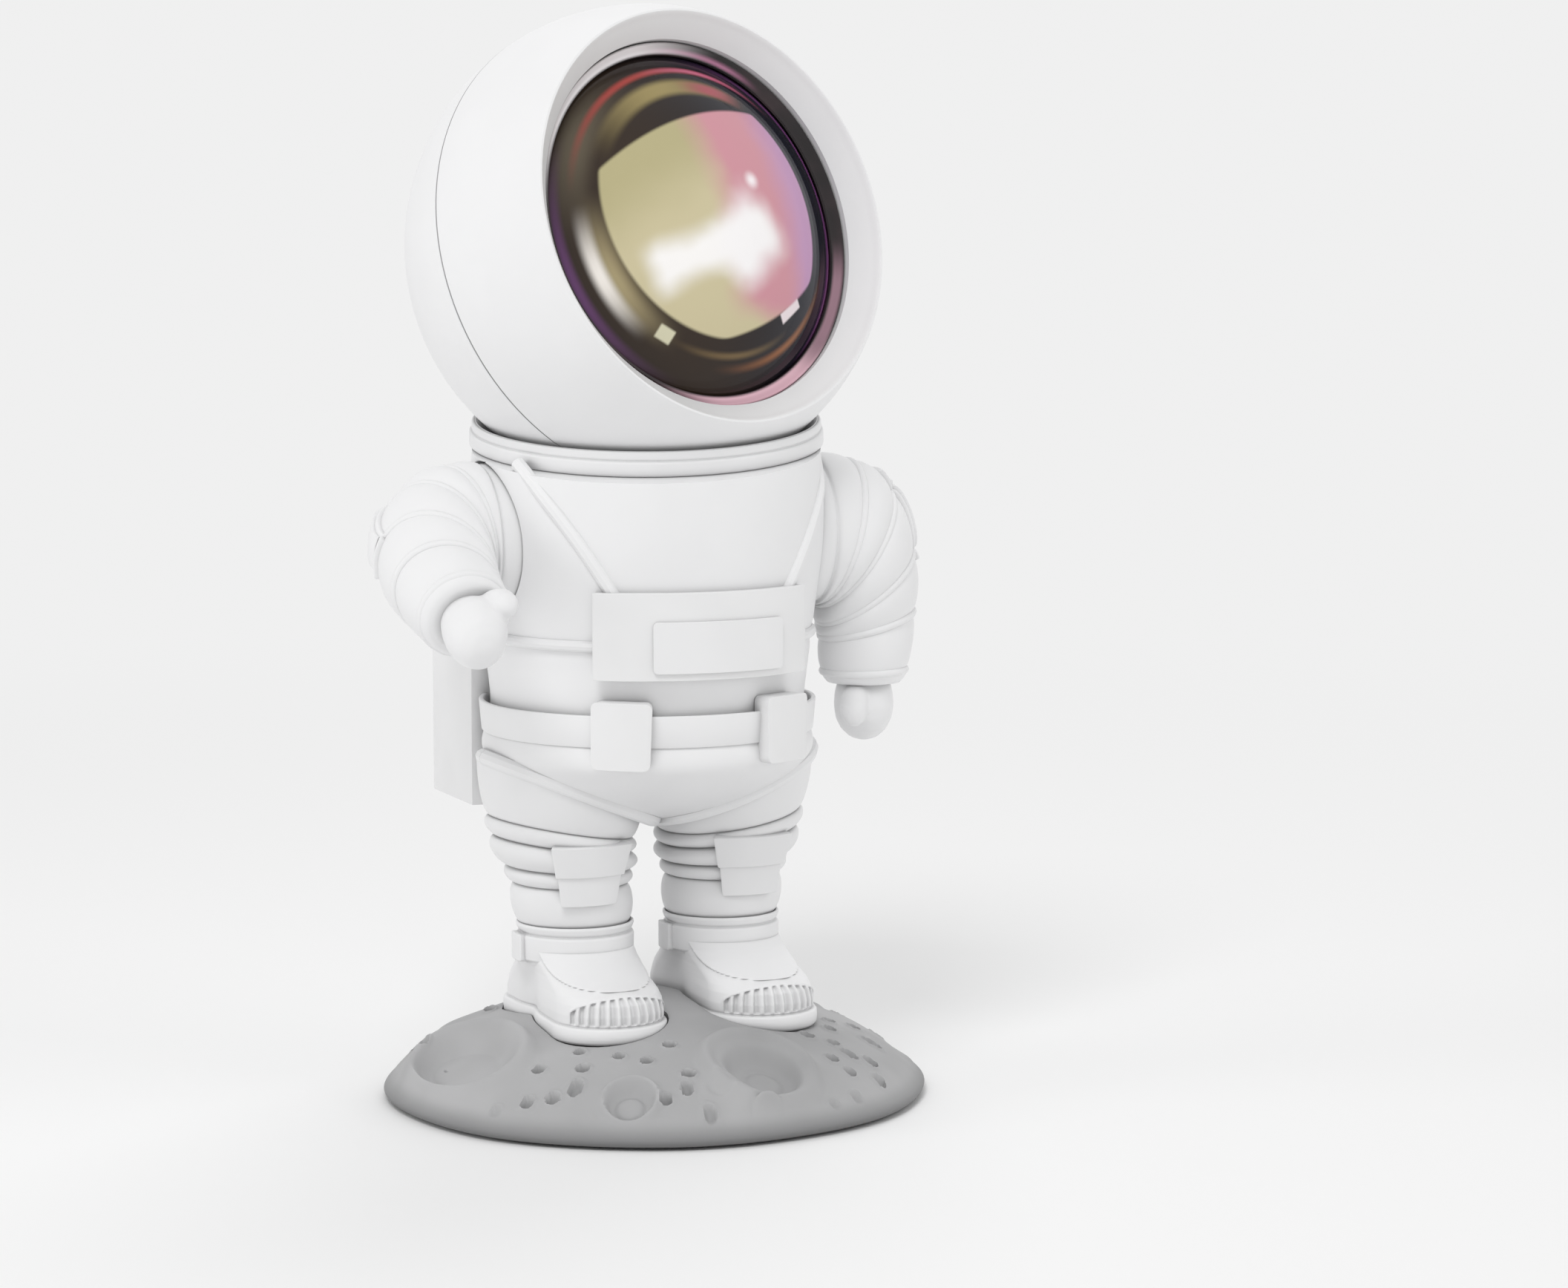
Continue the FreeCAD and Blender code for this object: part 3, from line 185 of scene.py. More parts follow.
def face_out(piece):
    """Close doubles and point every face outwards."""
    edit(piece)
    bpy.ops.mesh.remove_doubles(threshold=0.002 * MM)
    return close(piece)


def tube(name, rings, sides=64):
    """A closed tube extruded from ring to ring."""
    piece = fresh(name, "circle", vertices=sides, radius=1, fill_type="NGON")
    edit(piece)
    mesh = bmesh.from_edit_mesh(piece.data)
    bmesh.ops.transform(mesh, matrix=rings[0], verts=mesh.verts)
    for before, after in zip(rings, rings[1:]):
        bpy.ops.mesh.extrude_region_move()
        mesh = bmesh.from_edit_mesh(piece.data)
        ends = [v for v in mesh.verts if v.select]
        bmesh.ops.transform(mesh, matrix=after @ before.inverted(), verts=ends)
    return close(piece)


def spun(name, profile, spot, steps=144):
    """A shape spun about its own Z from a closed outline of (radius, height) points."""
    piece = fresh(name, "circle", vertices=len(profile), radius=1, fill_type="NOTHING")
    for corner, (radius, level) in zip(piece.data.vertices, profile):
        corner.co = Vector((radius, 0, level)) * MM
    edit(piece)
    bpy.ops.mesh.spin(steps=steps, angle=2 * pi, center=(0, 0, 0), axis=(0, 0, 1))
    bpy.ops.mesh.select_all(action="SELECT")
    bpy.ops.mesh.remove_doubles(threshold=0.002 * MM)
    bpy.ops.mesh.delete_loose(use_verts=True, use_edges=True, use_faces=False)
    close(piece).data.transform(spot)
    return piece


def arc(radius, start, stop, count, middle=(0, 0)):
    """(radius, height) points on an arc, angles in degrees from the outward direction."""
    return [(middle[0] + radius * cos(radians(start + (stop - start) * i / count)),
             middle[1] + radius * sin(radians(start + (stop - start) * i / count)))
            for i in range(count + 1)]


def cord_line(name, points, radius, closed=False):
    """A round moulded line through points, as a mesh."""
    start_clean()
    curve = bpy.data.curves.new(name, "CURVE")
    curve.dimensions = "3D"
    curve.bevel_depth = radius * MM
    curve.bevel_resolution = 3
    curve.use_fill_caps = not closed
    spline = curve.splines.new("NURBS")
    spline.points.add(len(points) - 1)
    for spot, point in zip(spline.points, points):
        spot.co = (*(Vector(point) * MM), 1)
    spline.order_u = 3
    spline.use_endpoint_u = not closed
    spline.use_cyclic_u = closed
    spline.resolution_u = 3
    piece = bpy.data.objects.new(name, curve)
    bpy.context.scene.collection.objects.link(piece)
    only(piece)
    bpy.ops.object.convert(target="MESH")
    return bpy.context.object


def wrapped(name, reach, low, high, half_angle, middle=0, corner=0, columns=32, rows=12,
            thick=1.0, edge=0.3, taper=0.0, spot=BODY):
    """A plate wrapped about a round body: reach(angle, level) is its outer radius."""
    piece = fresh(name, "grid", x_subdivisions=columns, y_subdivisions=rows, size=2)
    half_high, mid = (high - low) / 2, (low + high) / 2
    across = reach(radians(middle), mid)
    for point in piece.data.vertices:
        u, v = point.co.x, point.co.y
        # rows crowd towards the rounded corners
        v = sin(v * pi / 2) if corner else v
        level = mid + v * half_high
        wide = radians(half_angle) * (1 - taper * v)
        inset = max(corner - (half_high - abs(v * half_high)), 0)
        if inset > 0:
            wide -= (corner - sqrt(max(corner ** 2 - inset ** 2, 0))) / across
        turned = radians(middle) + u * wide
        radius = reach(turned, level)
        point.co = Vector((radius * sin(turned), -radius * cos(turned), level)) * MM
    piece.data.transform(spot)
    modify(piece, "SOLIDIFY", thickness=thick * MM, offset=-1)
    face_out(piece)
    return soften(piece, edge, 3) if edge else piece


def block(name, size, edge, spot, segments=4):
    """A box with rounded edges, centred on its place."""
    piece = fresh(name, "cube", size=1)
    piece.data.transform(Matrix.Diagonal((*(Vector(size) * MM), 1)))
    soften(piece, edge, segments)
    piece.data.transform(spot)
    return piece


def merge(name, *pieces):
    """One object from several meshes."""
    start_clean()
    for piece in pieces:
        piece.select_set(True)
    bpy.context.view_layer.objects.active = pieces[0]
    if len(pieces) > 1:
        bpy.ops.object.join()
    bpy.context.object.name = name
    return bpy.context.object


def carve(piece, *tools):
    """Cut the tools' space out of a piece."""
    for tool in tools:
        modify(piece, "BOOLEAN", operation="DIFFERENCE", object=tool, solver="EXACT")
        bpy.data.objects.remove(tool)
    return piece


def trim(piece, point, normal):
    """Cut away what lies on the normal's side of a plane and close the cut."""
    edit(piece)
    bpy.ops.mesh.bisect(plane_co=point, plane_no=normal, use_fill=True, clear_outer=True)
    bpy.ops.object.mode_set(mode="OBJECT")
    return piece


def twin(piece):
    """A copy of the piece with a mesh of its own."""
    copy = piece.copy()
    copy.data = piece.data.copy()
    bpy.context.scene.collection.objects.link(copy)
    return copy


def finish_piece(piece, body, *nodes, finish="white", slot="white_shell", angle=38):
    """Shade, dress and hang the piece on its body in place of those CAD nodes."""
    only(piece)
    piece.data.transform(piece.matrix_world)
    piece.matrix_world = Matrix.Identity(4)
    bpy.ops.object.shade_smooth_by_angle(angle=radians(angle))
    piece.data.materials.clear()
    piece.data.materials.append(FINISHES[finish])
    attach(piece, body)
    if nodes:
        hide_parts(*nodes)
    return piece


# ---------------------------------------------------------------- finishes
def effect(name, inputs, outputs):
    """An empty node group with those sockets: (name, socket type, default)."""
    tree = bpy.data.node_groups.new(name, "ShaderNodeTree")
    for label, kind, default in inputs:
        socket = tree.interface.new_socket(label, in_out="INPUT", socket_type=kind)
        if default is not None:
            socket.default_value = default
    for label, kind in outputs:
        tree.interface.new_socket(label, in_out="OUTPUT", socket_type=kind)
    return tree, tree.nodes.new("NodeGroupInput"), tree.nodes.new("NodeGroupOutput")


def node(tree, kind, inputs=(), **settings):
    """A node with its settings, and its inputs linked or set by number or name."""
    made = tree.nodes.new("ShaderNode" + kind)
    for name, amount in settings.items():
        setattr(made, name, amount)
    for key, source in dict(inputs).items():
        socket = made.inputs[key]
        if isinstance(source, bpy.types.NodeSocket):
            tree.links.new(source, socket)
        else:
            socket.default_value = source
    return made


def sums(tree, operation, *sources, clamp=False):
    return node(tree, "Math", dict(enumerate(sources)), operation=operation,
                use_clamp=clamp).outputs[0]


def blend_colour(tree, factor, first, second):
    """A mix of two colours, each a socket or three numbers."""
    first, second = [(*c, 1) if isinstance(c, tuple) else c for c in (first, second)]
    mixed = node(tree, "Mix", {0: factor, 6: first, 7: second}, data_type="RGBA")
    return mixed.outputs[2]


def step_between(tree, source, low, high):
    """A soft 0 to 1 step; low above high makes it fall."""
    return node(tree, "MapRange", {0: source, 1: low, 2: high, 3: 0.0, 4: 1.0},
                interpolation_type="SMOOTHSTEP", clamp=True).outputs[0]


def make_effects():
    """The effects that the moulded finishes share."""
    tree, given, out = effect("moulded_skin", [
        ("Vector", "NodeSocketVector", None), ("Grain Size", "NodeSocketFloat", 2200.0),
        ("Wave Size", "NodeSocketFloat", 60.0)], [
        ("Height", "NodeSocketFloat"), ("Mottle", "NodeSocketFloat")])
    grain = node(tree, "TexNoise", {"Vector": given.outputs[0], "Scale": given.outputs[1],
                                    "Detail": 3.0, "Roughness": 0.6})
    wave = node(tree, "TexNoise", {"Vector": given.outputs[0], "Scale": given.outputs[2],
                                   "Detail": 2.0, "Roughness": 0.5})
    rise = sums(tree, "MULTIPLY_ADD", wave.outputs[0], 2.0, grain.outputs[0])
    tree.links.new(rise, out.inputs["Height"])
    tree.links.new(wave.outputs[0], out.inputs["Mottle"])
    # painted highlight: a mask of convex edges by pointiness, which the moon grey paints paler
    tree, _, out = effect("painted_edge_highlight", [], [("Edge", "NodeSocketFloat")])
    edge = node(tree, "NewGeometry")
    mask = step_between(tree, edge.outputs["Pointiness"], 0.52, 0.62)
    tree.links.new(mask, out.inputs["Edge"])
    # painted shade: ambient occlusion gives a mask of creases and recesses, which the finishes
    # paint darker
    tree, given, out = effect("painted_crease_shade", [("Reach", "NodeSocketFloat", 0.004)], [
        ("Crease", "NodeSocketFloat")])
    hidden = node(tree, "AmbientOcclusion", {"Distance": given.outputs[0]}, samples=8)
    tree.links.new(step_between(tree, hidden.outputs["AO"], 0.86, 0.25), out.inputs["Crease"])


def plain_material(name, colour, roughness, metallic=0.0, coat=0.0):
    made = bpy.data.materials.new(name)
    made.use_nodes = True
    made.diffuse_color = (*colour, 1)
    shader = made.node_tree.nodes["Principled BSDF"]
    shader.inputs["Base Color"].default_value = (*colour, 1)
    shader.inputs["Roughness"].default_value = roughness
    shader.inputs["Metallic"].default_value = metallic
    shader.inputs["Coat Weight"].default_value = coat
    return made, made.node_tree, shader


def moulded(name, colour, roughness=0.45, spread=0.03, grain=2200.0, wave=60.0, depth=0.00001,
            metallic=0.0, coat=0.0, painted_shade=0.0):
    """Moulded or cast finish: mottled colour and roughness with a fine grain in its normal, and
    painted shade in creases and recesses.
    """
    made, tree, shader = plain_material(name, colour, roughness, metallic, coat)
    spot = node(tree, "TexCoord").outputs["Object"]
    skin = node(tree, "Group", node_tree=bpy.data.node_groups["moulded_skin"])
    tree.links.new(spot, skin.inputs["Vector"])
    skin.inputs["Grain Size"].default_value = grain
    skin.inputs["Wave Size"].default_value = wave
    shade = tuple(max(c * (1 - spread) - 0.002, 0) for c in colour)
    factor = step_between(tree, skin.outputs["Mottle"], 0.35, 0.65)
    mixed = blend_colour(tree, factor, shade, colour)
    # painted shade: the colour darkens where ambient occlusion finds creases and recesses
    if painted_shade:
        deep = node(tree, "Group", node_tree=bpy.data.node_groups["painted_crease_shade"])
        dark = tuple(c * (1 - painted_shade) for c in colour)
        mixed = blend_colour(tree, deep.outputs[0], mixed, dark)
    tree.links.new(mixed, shader.inputs["Base Color"])
    rough = node(tree, "MapRange", {0: skin.outputs["Mottle"], 1: 0.3, 2: 0.7,
                                    3: roughness * 0.92, 4: min(roughness * 1.08, 1)})
    tree.links.new(rough.outputs[0], shader.inputs["Roughness"])
    bump = node(tree, "Bump", {"Strength": 0.6, "Distance": depth,
                               "Height": skin.outputs["Height"]})
    tree.links.new(bump.outputs[0], shader.inputs["Normal"])
    return made


def moon_material(colour):
    """Cast moon grey: clouded patches, painted highlight on convex rims and painted shade in the
    hollows, both by the shape itself, and painted shade darkening the low rim.
    """
    made = moulded("moon_grey_cast", colour, 0.56, 0.1, 900.0, 45.0, 0.00004, painted_shade=0.55)
    tree = made.node_tree
    shader = tree.nodes["Principled BSDF"]
    # the mottled grey with painted shade in its creases
    mottle_and_crease_shade = shader.inputs["Base Color"].links[0].from_socket
    # painted highlight: convex rims and edges paler
    edge = node(tree, "Group", node_tree=bpy.data.node_groups["painted_edge_highlight"])
    pale = tuple(min(c * 1.16, 1) for c in colour)
    shade = blend_colour(tree, edge.outputs[0], mottle_and_crease_shade, pale)
    # broad grey clouds, and painted shade darkening the low rim
    spot = node(tree, "TexCoord").outputs["Object"]
    broad = node(tree, "TexNoise", {"Vector": spot, "Scale": 22.0, "Detail": 3.0}).outputs[0]
    deep = tuple(c * 0.72 for c in colour)
    shade = blend_colour(tree, step_between(tree, broad, 0.42, 0.72), shade, deep)
    level = node(tree, "SeparateXYZ", {0: spot}).outputs[2]
    rim = tuple(c * 0.42 for c in colour)
    shade = blend_colour(tree, step_between(tree, level, 0.006, 0.001), shade, rim)
    tree.links.new(shade, shader.inputs["Base Color"])
    return made


class HeadMasks:
    """Soft masks in the head's frame, where the lens has a radius of 1."""

    def __init__(self, tree):
        self.tree = tree
        spot = node(tree, "TexCoord").outputs["Object"]
        self.spot = node(tree, "Mapping", {
            "Vector": spot, "Location": HEAD.translation, "Rotation": HEAD.to_euler(),
            "Scale": (LENS_RADIUS * MM,) * 3}, vector_type="TEXTURE").outputs[0]
        self.x, self.y, _ = node(tree, "SeparateXYZ", {0: self.spot}).outputs
        self.far = self.length(self.x, self.y)
        self.angle = self.sums("ARCTAN2", self.y, self.x)
        self.wobble = self.sums("MULTIPLY_ADD", self.clouds(2.6), 0.16, -0.08)

    def sums(self, operation, *sources):
        return sums(self.tree, operation, *sources)

    def step(self, source, low, high):
        return step_between(self.tree, source, low, high)

    def clouds(self, scale):
        return node(self.tree, "TexNoise", {"Vector": self.spot, "Scale": scale,
                                            "Detail": 2.0}).outputs[0]

    def length(self, x, y):
        return self.sums("SQRT", self.sums("ADD", self.sums("MULTIPLY", x, x),
                                           self.sums("MULTIPLY", y, y)))

    def both(self, *masks):
        total = masks[0]
        for mask in masks[1:]:
            total = self.sums("MULTIPLY", total, mask)
        return total

    def along(self, ax, ay, shift=0.0):
        """How far out a point lies in the direction (ax, ay), and the shift on top."""
        return self.sums("ADD", self.sums("MULTIPLY", self.x, ax),
                         self.sums("MULTIPLY_ADD", self.y, ay, shift))

    def arc(self, low, high, soft, direction, spread, full=0.0):
        """Part of a ring between two radii, about a direction in degrees from +x: whole
        within the angle full, and falling to 0 at the spread."""
        gap = self.sums("SUBTRACT", self.angle, radians(direction))
        gap = self.sums("ABSOLUTE", self.sums("WRAP", gap, pi, -pi))
        return self.both(self.step(self.far, low - soft, low + soft),
                         self.step(self.far, high + soft, high - soft),
                         self.step(gap, radians(spread), radians(full)))

    def disc(self, cx, cy, radius, soft):
        gap = self.length(self.sums("SUBTRACT", self.x, cx), self.sums("SUBTRACT", self.y, cy))
        return self.step(gap, radius + soft, radius - soft)

    def patch(self, cx, cy, angle, long, wide, soft, rough=0.0):
        """A soft block or streak turned by an angle in degrees."""
        c, s = cos(radians(angle)), sin(radians(angle))
        masks = []
        for ax, ay, half in ((c, s, long), (-s, c, wide)):
            off = self.sums("ABSOLUTE", self.along(ax, ay, -(cx * ax + cy * ay)))
            if rough:
                off = self.sums("MULTIPLY_ADD", self.wobble, rough, off)
            masks.append(self.step(off, half + soft, half - soft))
        return self.both(*masks)

    def layers(self, shade, *layers):
        """Colours laid one over another, each where its mask is 1."""
        for colour, mask in layers:
            shade = blend_colour(self.tree, mask, shade, colour)
        return shade


# coloured arcs, partly coating colour and partly painted reflection: colour, inner and outer
# radius, softness, direction and spread in degrees
LENS_ARCS = [
    ((0.11, 0.09, 0.06), 0.8, 0.95, 0.05, 150, 40),
    ((0.34, 0.27, 0.11), 0.71, 0.8, 0.025, 104, 52),
    ((0.42, 0.10, 0.12), 0.72, 0.79, 0.02, 76, 20),
    ((0.40, 0.06, 0.05), 0.855, 0.885, 0.015, 112, 60),
    ((0.62, 0.16, 0.26), 0.86, 0.885, 0.012, 76, 34),
    ((0.30, 0.10, 0.30), 0.93, 0.96, 0.015, 20, 70),
    ((0.16, 0.06, 0.18), 0.93, 0.97, 0.02, 200, 55),
    ((0.42, 0.16, 0.40), 0.955, 0.98, 0.01, -20, 40),
    ((0.33, 0.13, 0.05), 0.83, 0.86, 0.02, -58, 42),
    ((0.24, 0.16, 0.07), 0.77, 0.79, 0.02, -88, 36),
    ((0.40, 0.33, 0.18), 0.72, 0.82, 0.05, 206, 40),
    # a cream crescent of painted highlight
    ((0.95, 0.90, 0.84), 0.8, 0.865, 0.025, 202, 30)]
# painted reflections on the ring, whole within a third of their spread
RING_PAINTED_REFLECTIONS = [
    ((0.5, 0.2, 0.33), 0.99, 1.01, 0.01, 78, 30, 10),
    ((1.0, 0.96, 0.97), 0.985, 1.034, 0.01, 124, 56, 56 / 3),
    ((0.80, 0.50, 0.58), 0.985, 1.045, 0.01, 284, 44, 44 / 3),
    ((0.35, 0.2, 0.25), 0.99, 1.03, 0.01, 330, 26, 26 / 3)]


def lens_material():
    """Coated glass: gold, pink and violet bands about a painted reflection of a pale
    rounded-square softbox.
    """
    made, tree, shader = plain_material("coated_lens", (0.05, 0.03, 0.03), 0.06, coat=0.3)
    shader.inputs["Coat Roughness"].default_value = 0.02
    shader.inputs["Specular IOR Level"].default_value = 0.12
    head = HeadMasks(tree)
    # the painted reflection of a pale softbox is where four discs meet
    painted_softbox_reflection = head.both(*[head.disc(cx, cy, radius, 0.012) for cx, cy, radius in (
        (0.03, 0.06, 0.755), (-0.2, -0.05, 0.915), (0.314, -1.118, 1.72),
        (-0.303, 0.807, 1.52))])
    gold, khaki, pink, violet = ((0.64, 0.57, 0.36), (0.50, 0.45, 0.25), (0.66, 0.31, 0.36),
                                 (0.56, 0.31, 0.52))
    glow = head.layers(
        gold, *[(colour, head.step(head.along(ax, ay, head.wobble), low, high))
                for colour, ax, ay, low, high in (
                    (khaki, -0.4, 0.7, 0.05, 0.4), (pink, 1.0, 0.12, -0.14, 0.12),
                    (violet, 1.0, 0.1, 0.34, 0.62), (gold, -0.1, -1.0, 0.44, 0.64))],
        # painted highlights: white streaks and a spot within the reflection
        ((1.0, 0.98, 0.96), head.patch(-0.1, -0.2, 17, 0.42, 0.12, 0.08, 0.8)),
        ((1.0, 0.98, 0.98), head.patch(0.12, -0.17, 40, 0.2, 0.17, 0.12, 1.4)),
        ((1.0, 0.93, 0.95), head.disc(0.22, 0.17, 0.035, 0.035)))
    # the dark surround with its coloured arcs, partly coating colour and partly painted
    # reflection
    dark = head.layers(
        (0.035, 0.022, 0.014), ((0.007, 0.008, 0.016), head.step(head.along(1, 0.2), -0.5, 0.6)),
        *[(colour, head.arc(*place)) for colour, *place in LENS_ARCS],
        # two small pale patches of painted glint
        ((0.70, 0.67, 0.48), head.patch(-0.43, -0.645, -32, 0.05, 0.035, 0.008)),
        ((0.88, 0.78, 0.80), head.patch(0.45, -0.54, 33, 0.09, 0.03, 0.008)))
    tree.links.new(blend_colour(tree, painted_softbox_reflection, dark, glow), shader.inputs["Base Color"])
    return made


def ring_material():
    """Black gloss ring with painted reflections of pale pink bands."""
    black = (0.012, 0.008, 0.009)
    made, tree, shader = plain_material("black_mirror_ring", black, 0.12, coat=0.25)
    shader.inputs["Specular IOR Level"].default_value = 0.3
    head = HeadMasks(tree)
    shade = head.layers(black, ((0.035, 0.02, 0.022), head.step(head.clouds(3.0), 0.4, 0.7)),
                        *[(colour, head.arc(*place)) for colour, *place in RING_PAINTED_REFLECTIONS])
    tree.links.new(shade, shader.inputs["Base Color"])
    return made


def make_finishes(colours):
    """Every finish by its short name."""
    white = tuple(colours.shell)
    return {
        # the crease amounts paint shade darker into creases and recesses
        "white": moulded("white_satin_shell", white, 0.42, 0.012, painted_shade=0.32),
        "trim": moulded("white_satin_trim", tuple(c * 0.985 for c in white), 0.5, 0.015,
                        painted_shade=0.3),
        "panel": moulded("pale_grey_panel", tuple(colours.panel), 0.48, 0.02, painted_shade=0.3),
        "moon": moon_material(tuple(colours.moon)),
        "lens": lens_material(),
        "bezel": ring_material(),
        "rubber": moulded("grey_rubber", (0.09, 0.09, 0.09), 0.85, 0.15, 1500.0),
        "steel": moulded("bright_steel", (0.62, 0.62, 0.63), 0.3, 0.06, 3000.0, metallic=1.0),
        "grey": moulded("grey_inner_plastic", (0.55, 0.55, 0.57), 0.5, 0.05),
        "black": moulded("black_inner_plastic", (0.03, 0.03, 0.032), 0.6, 0.2),
        "alloy": moulded("cast_alloy", (0.7, 0.7, 0.72), 0.35, 0.05, metallic=1.0),
        "green": moulded("circuit_green_lacquer", (0.03, 0.22, 0.09), 0.35, 0.25, coat=0.4),
        "yellow": moulded("emitter_yellow_gel", (0.85, 0.62, 0.08), 0.4, 0.1, coat=0.5),
        "orange": moulded("orange_filter_glass", (0.85, 0.25, 0.04), 0.1, 0.08, coat=0.8),
    }


FINISHES = {}


# ---------------------------------------------------------------- moon base
# craters: degrees left of the front, distance out, radius across and along, depth, rim height
CRATERS = [
    (-83, 44, 18, 10.5, 3.4, 2.2), (9.5, 43, 11, 11.6, 1.8, 2.2),
    (9.5, 43.6, 8.2, 8.8, 1.8, 1.3), (9.5, 44, 4.8, 5.2, -0.7, 0.3),
    (-26.5, 50, 5.6, 5, 1.9, 1.2), (-26.5, 50.3, 4, 3.4, -0.6, 0),
    (4.5, 54.4, 4, 2.2, -0.9, -0.5), (-4.4, 47.6, 3.4, 3, 0.4, 0.1), (118, 41, 10, 8.5, 1.8, 0.9),
    (165, 38, 7, 6, 1.4, 0.6), (-140, 42, 11, 9.5, 1.9, 0.9), (-172, 49, 4, 3.6, 0.8, 0.3)]
PITS = [
    (-15.4, 32.6, 1.3), (-11.7, 43.4, 1.3), (-18.3, 50.2, 1.3), (-23.1, 38.7, 1.2),
    (-31.9, 37.2, 1.2), (-45.2, 36.6, 1.2), (-40.9, 42, 1.4), (-44.7, 50.5, 1.4),
    (-52.9, 44.1, 1.3), (-50.1, 52.2, 1.3), (-56.7, 54.9, 1.3),
    (66, 37.2, 1.2), (55.3, 38, 1.3), (39.8, 36.5, 1.4), (70.3, 42.4, 1.4),
    (43.5, 41.4, 1.2), (33.6, 45.1, 1.3), (45.6, 49.2, 1.5), (33.8, 49.5, 1.2),
    (40.7, 53.1, 1.4), (29.1, 54.6, 1.4), (21.9, 54.7, 1.2), (85, 50, 1.2), (100, 47, 1.3),
    (140, 50, 1.3), (-104, 49, 1.4), (-115, 51, 1.2), (-165, 46, 1.3), (-125, 36, 1.1)]
LONG_PITS = [(-13, 47.6, 1.2, 1.9), (-40.3, 47.6, 1.3, 2.1), (-8.8, 53.8, 1.3, 2.1),
             (41.4, 45.6, 1.2, 2), (60.4, 46.3, 1.3, 2.2)]


def crater_shares(x, y, bearing, out, across, along):
    """How far points lie from a crater's middle, as shares of its half sizes."""
    ux, uy = sin(radians(bearing)), -cos(radians(bearing))
    dx, dy = x - out * ux, y - out * uy
    return np.sqrt(((dx * ux + dy * uy) / along) ** 2 + ((dx * uy - dy * ux) / across) ** 2)


def base_relief(x, y):
    """How far the dome's surface rises or sinks at points, in millimetres."""
    rise = np.zeros_like(x)
    for bearing, out, across, along, depth, rim in CRATERS:
        far = crater_shares(x, y, bearing, out, across, along)
        wall = np.clip((far - 0.55) / 0.4, 0, 1)
        rise -= depth * (1 - wall * wall * (3 - 2 * wall))
        rise += rim * np.exp(-((far - 1.0) / 0.16) ** 2)
    for bearing, out, radius, *stretch in [*PITS, *LONG_PITS]:
        far = crater_shares(x, y, bearing, out, radius, *(stretch or [radius]))
        dip = np.clip(1 - far, 0, 1)
        rise -= radius * 1.15 * np.sqrt(dip * (2 - dip)) * (far < 1)
        rise += 0.4 * np.exp(-((far - 1.2) / 0.25) ** 2)
    return rise


def boot_place(side):
    """A boot's place: its toe is turned a little to the lamp's left."""
    return at(16.5 * side, AXIS_Y, 0) @ turn(3.5 + side, "Z")


def boot_space(name, side, grow, low, high):
    """The space of a boot's sole, grown outwards."""
    points = sole_points(grow, 40)
    piece = fresh(name, "circle", vertices=len(points), radius=1, fill_type="NGON")
    for corner, (x, y) in zip(piece.data.vertices, points):
        corner.co = Vector((x, y, low)) * MM
    edit(piece)
    bpy.ops.mesh.extrude_region_move(
        TRANSFORM_OT_translate={"value": (0, 0, (high - low) * MM)})
    close(piece).data.transform(boot_place(side))
    return piece


def long_reach(bearing, toe_y, toe, heel_y, heel):
    """How far the outline round a toe circle and a heel circle lies at a bearing."""
    a = radians(abs(bearing))
    if a < atan2(toe, toe_y):
        return toe_y * cos(a) + sqrt(max(toe ** 2 - (toe_y * sin(a)) ** 2, 0))
    if a > pi - atan2(heel, heel_y):
        return -heel_y * cos(a) + sqrt(max(heel ** 2 - (heel_y * sin(a)) ** 2, 0))
    slope = (toe - heel) / (toe_y + heel_y)
    return (toe - slope * toe_y) / (sin(a) - slope * cos(a))


def waist(bearing):
    """The arch of the foot: how much narrower the sole is between toe and heel."""
    return 1.5 * exp(-((abs(bearing) - 88) / 24) ** 2)


def sole_reach(bearing):
    """How far a sole's edge lies from its middle at a bearing."""
    return long_reach(bearing, 17.6, 12.3, 12, 10.7) - waist(bearing)


def sole_points(grow, count):
    """Points round a boot's sole, toe towards -Y."""
    points = []
    for i in range(2 * count):
        bearing = 180 - 180 * i / count
        reach = sole_reach(bearing) + grow
        points.append((reach * sin(radians(bearing)), -reach * cos(radians(bearing))))
    return points


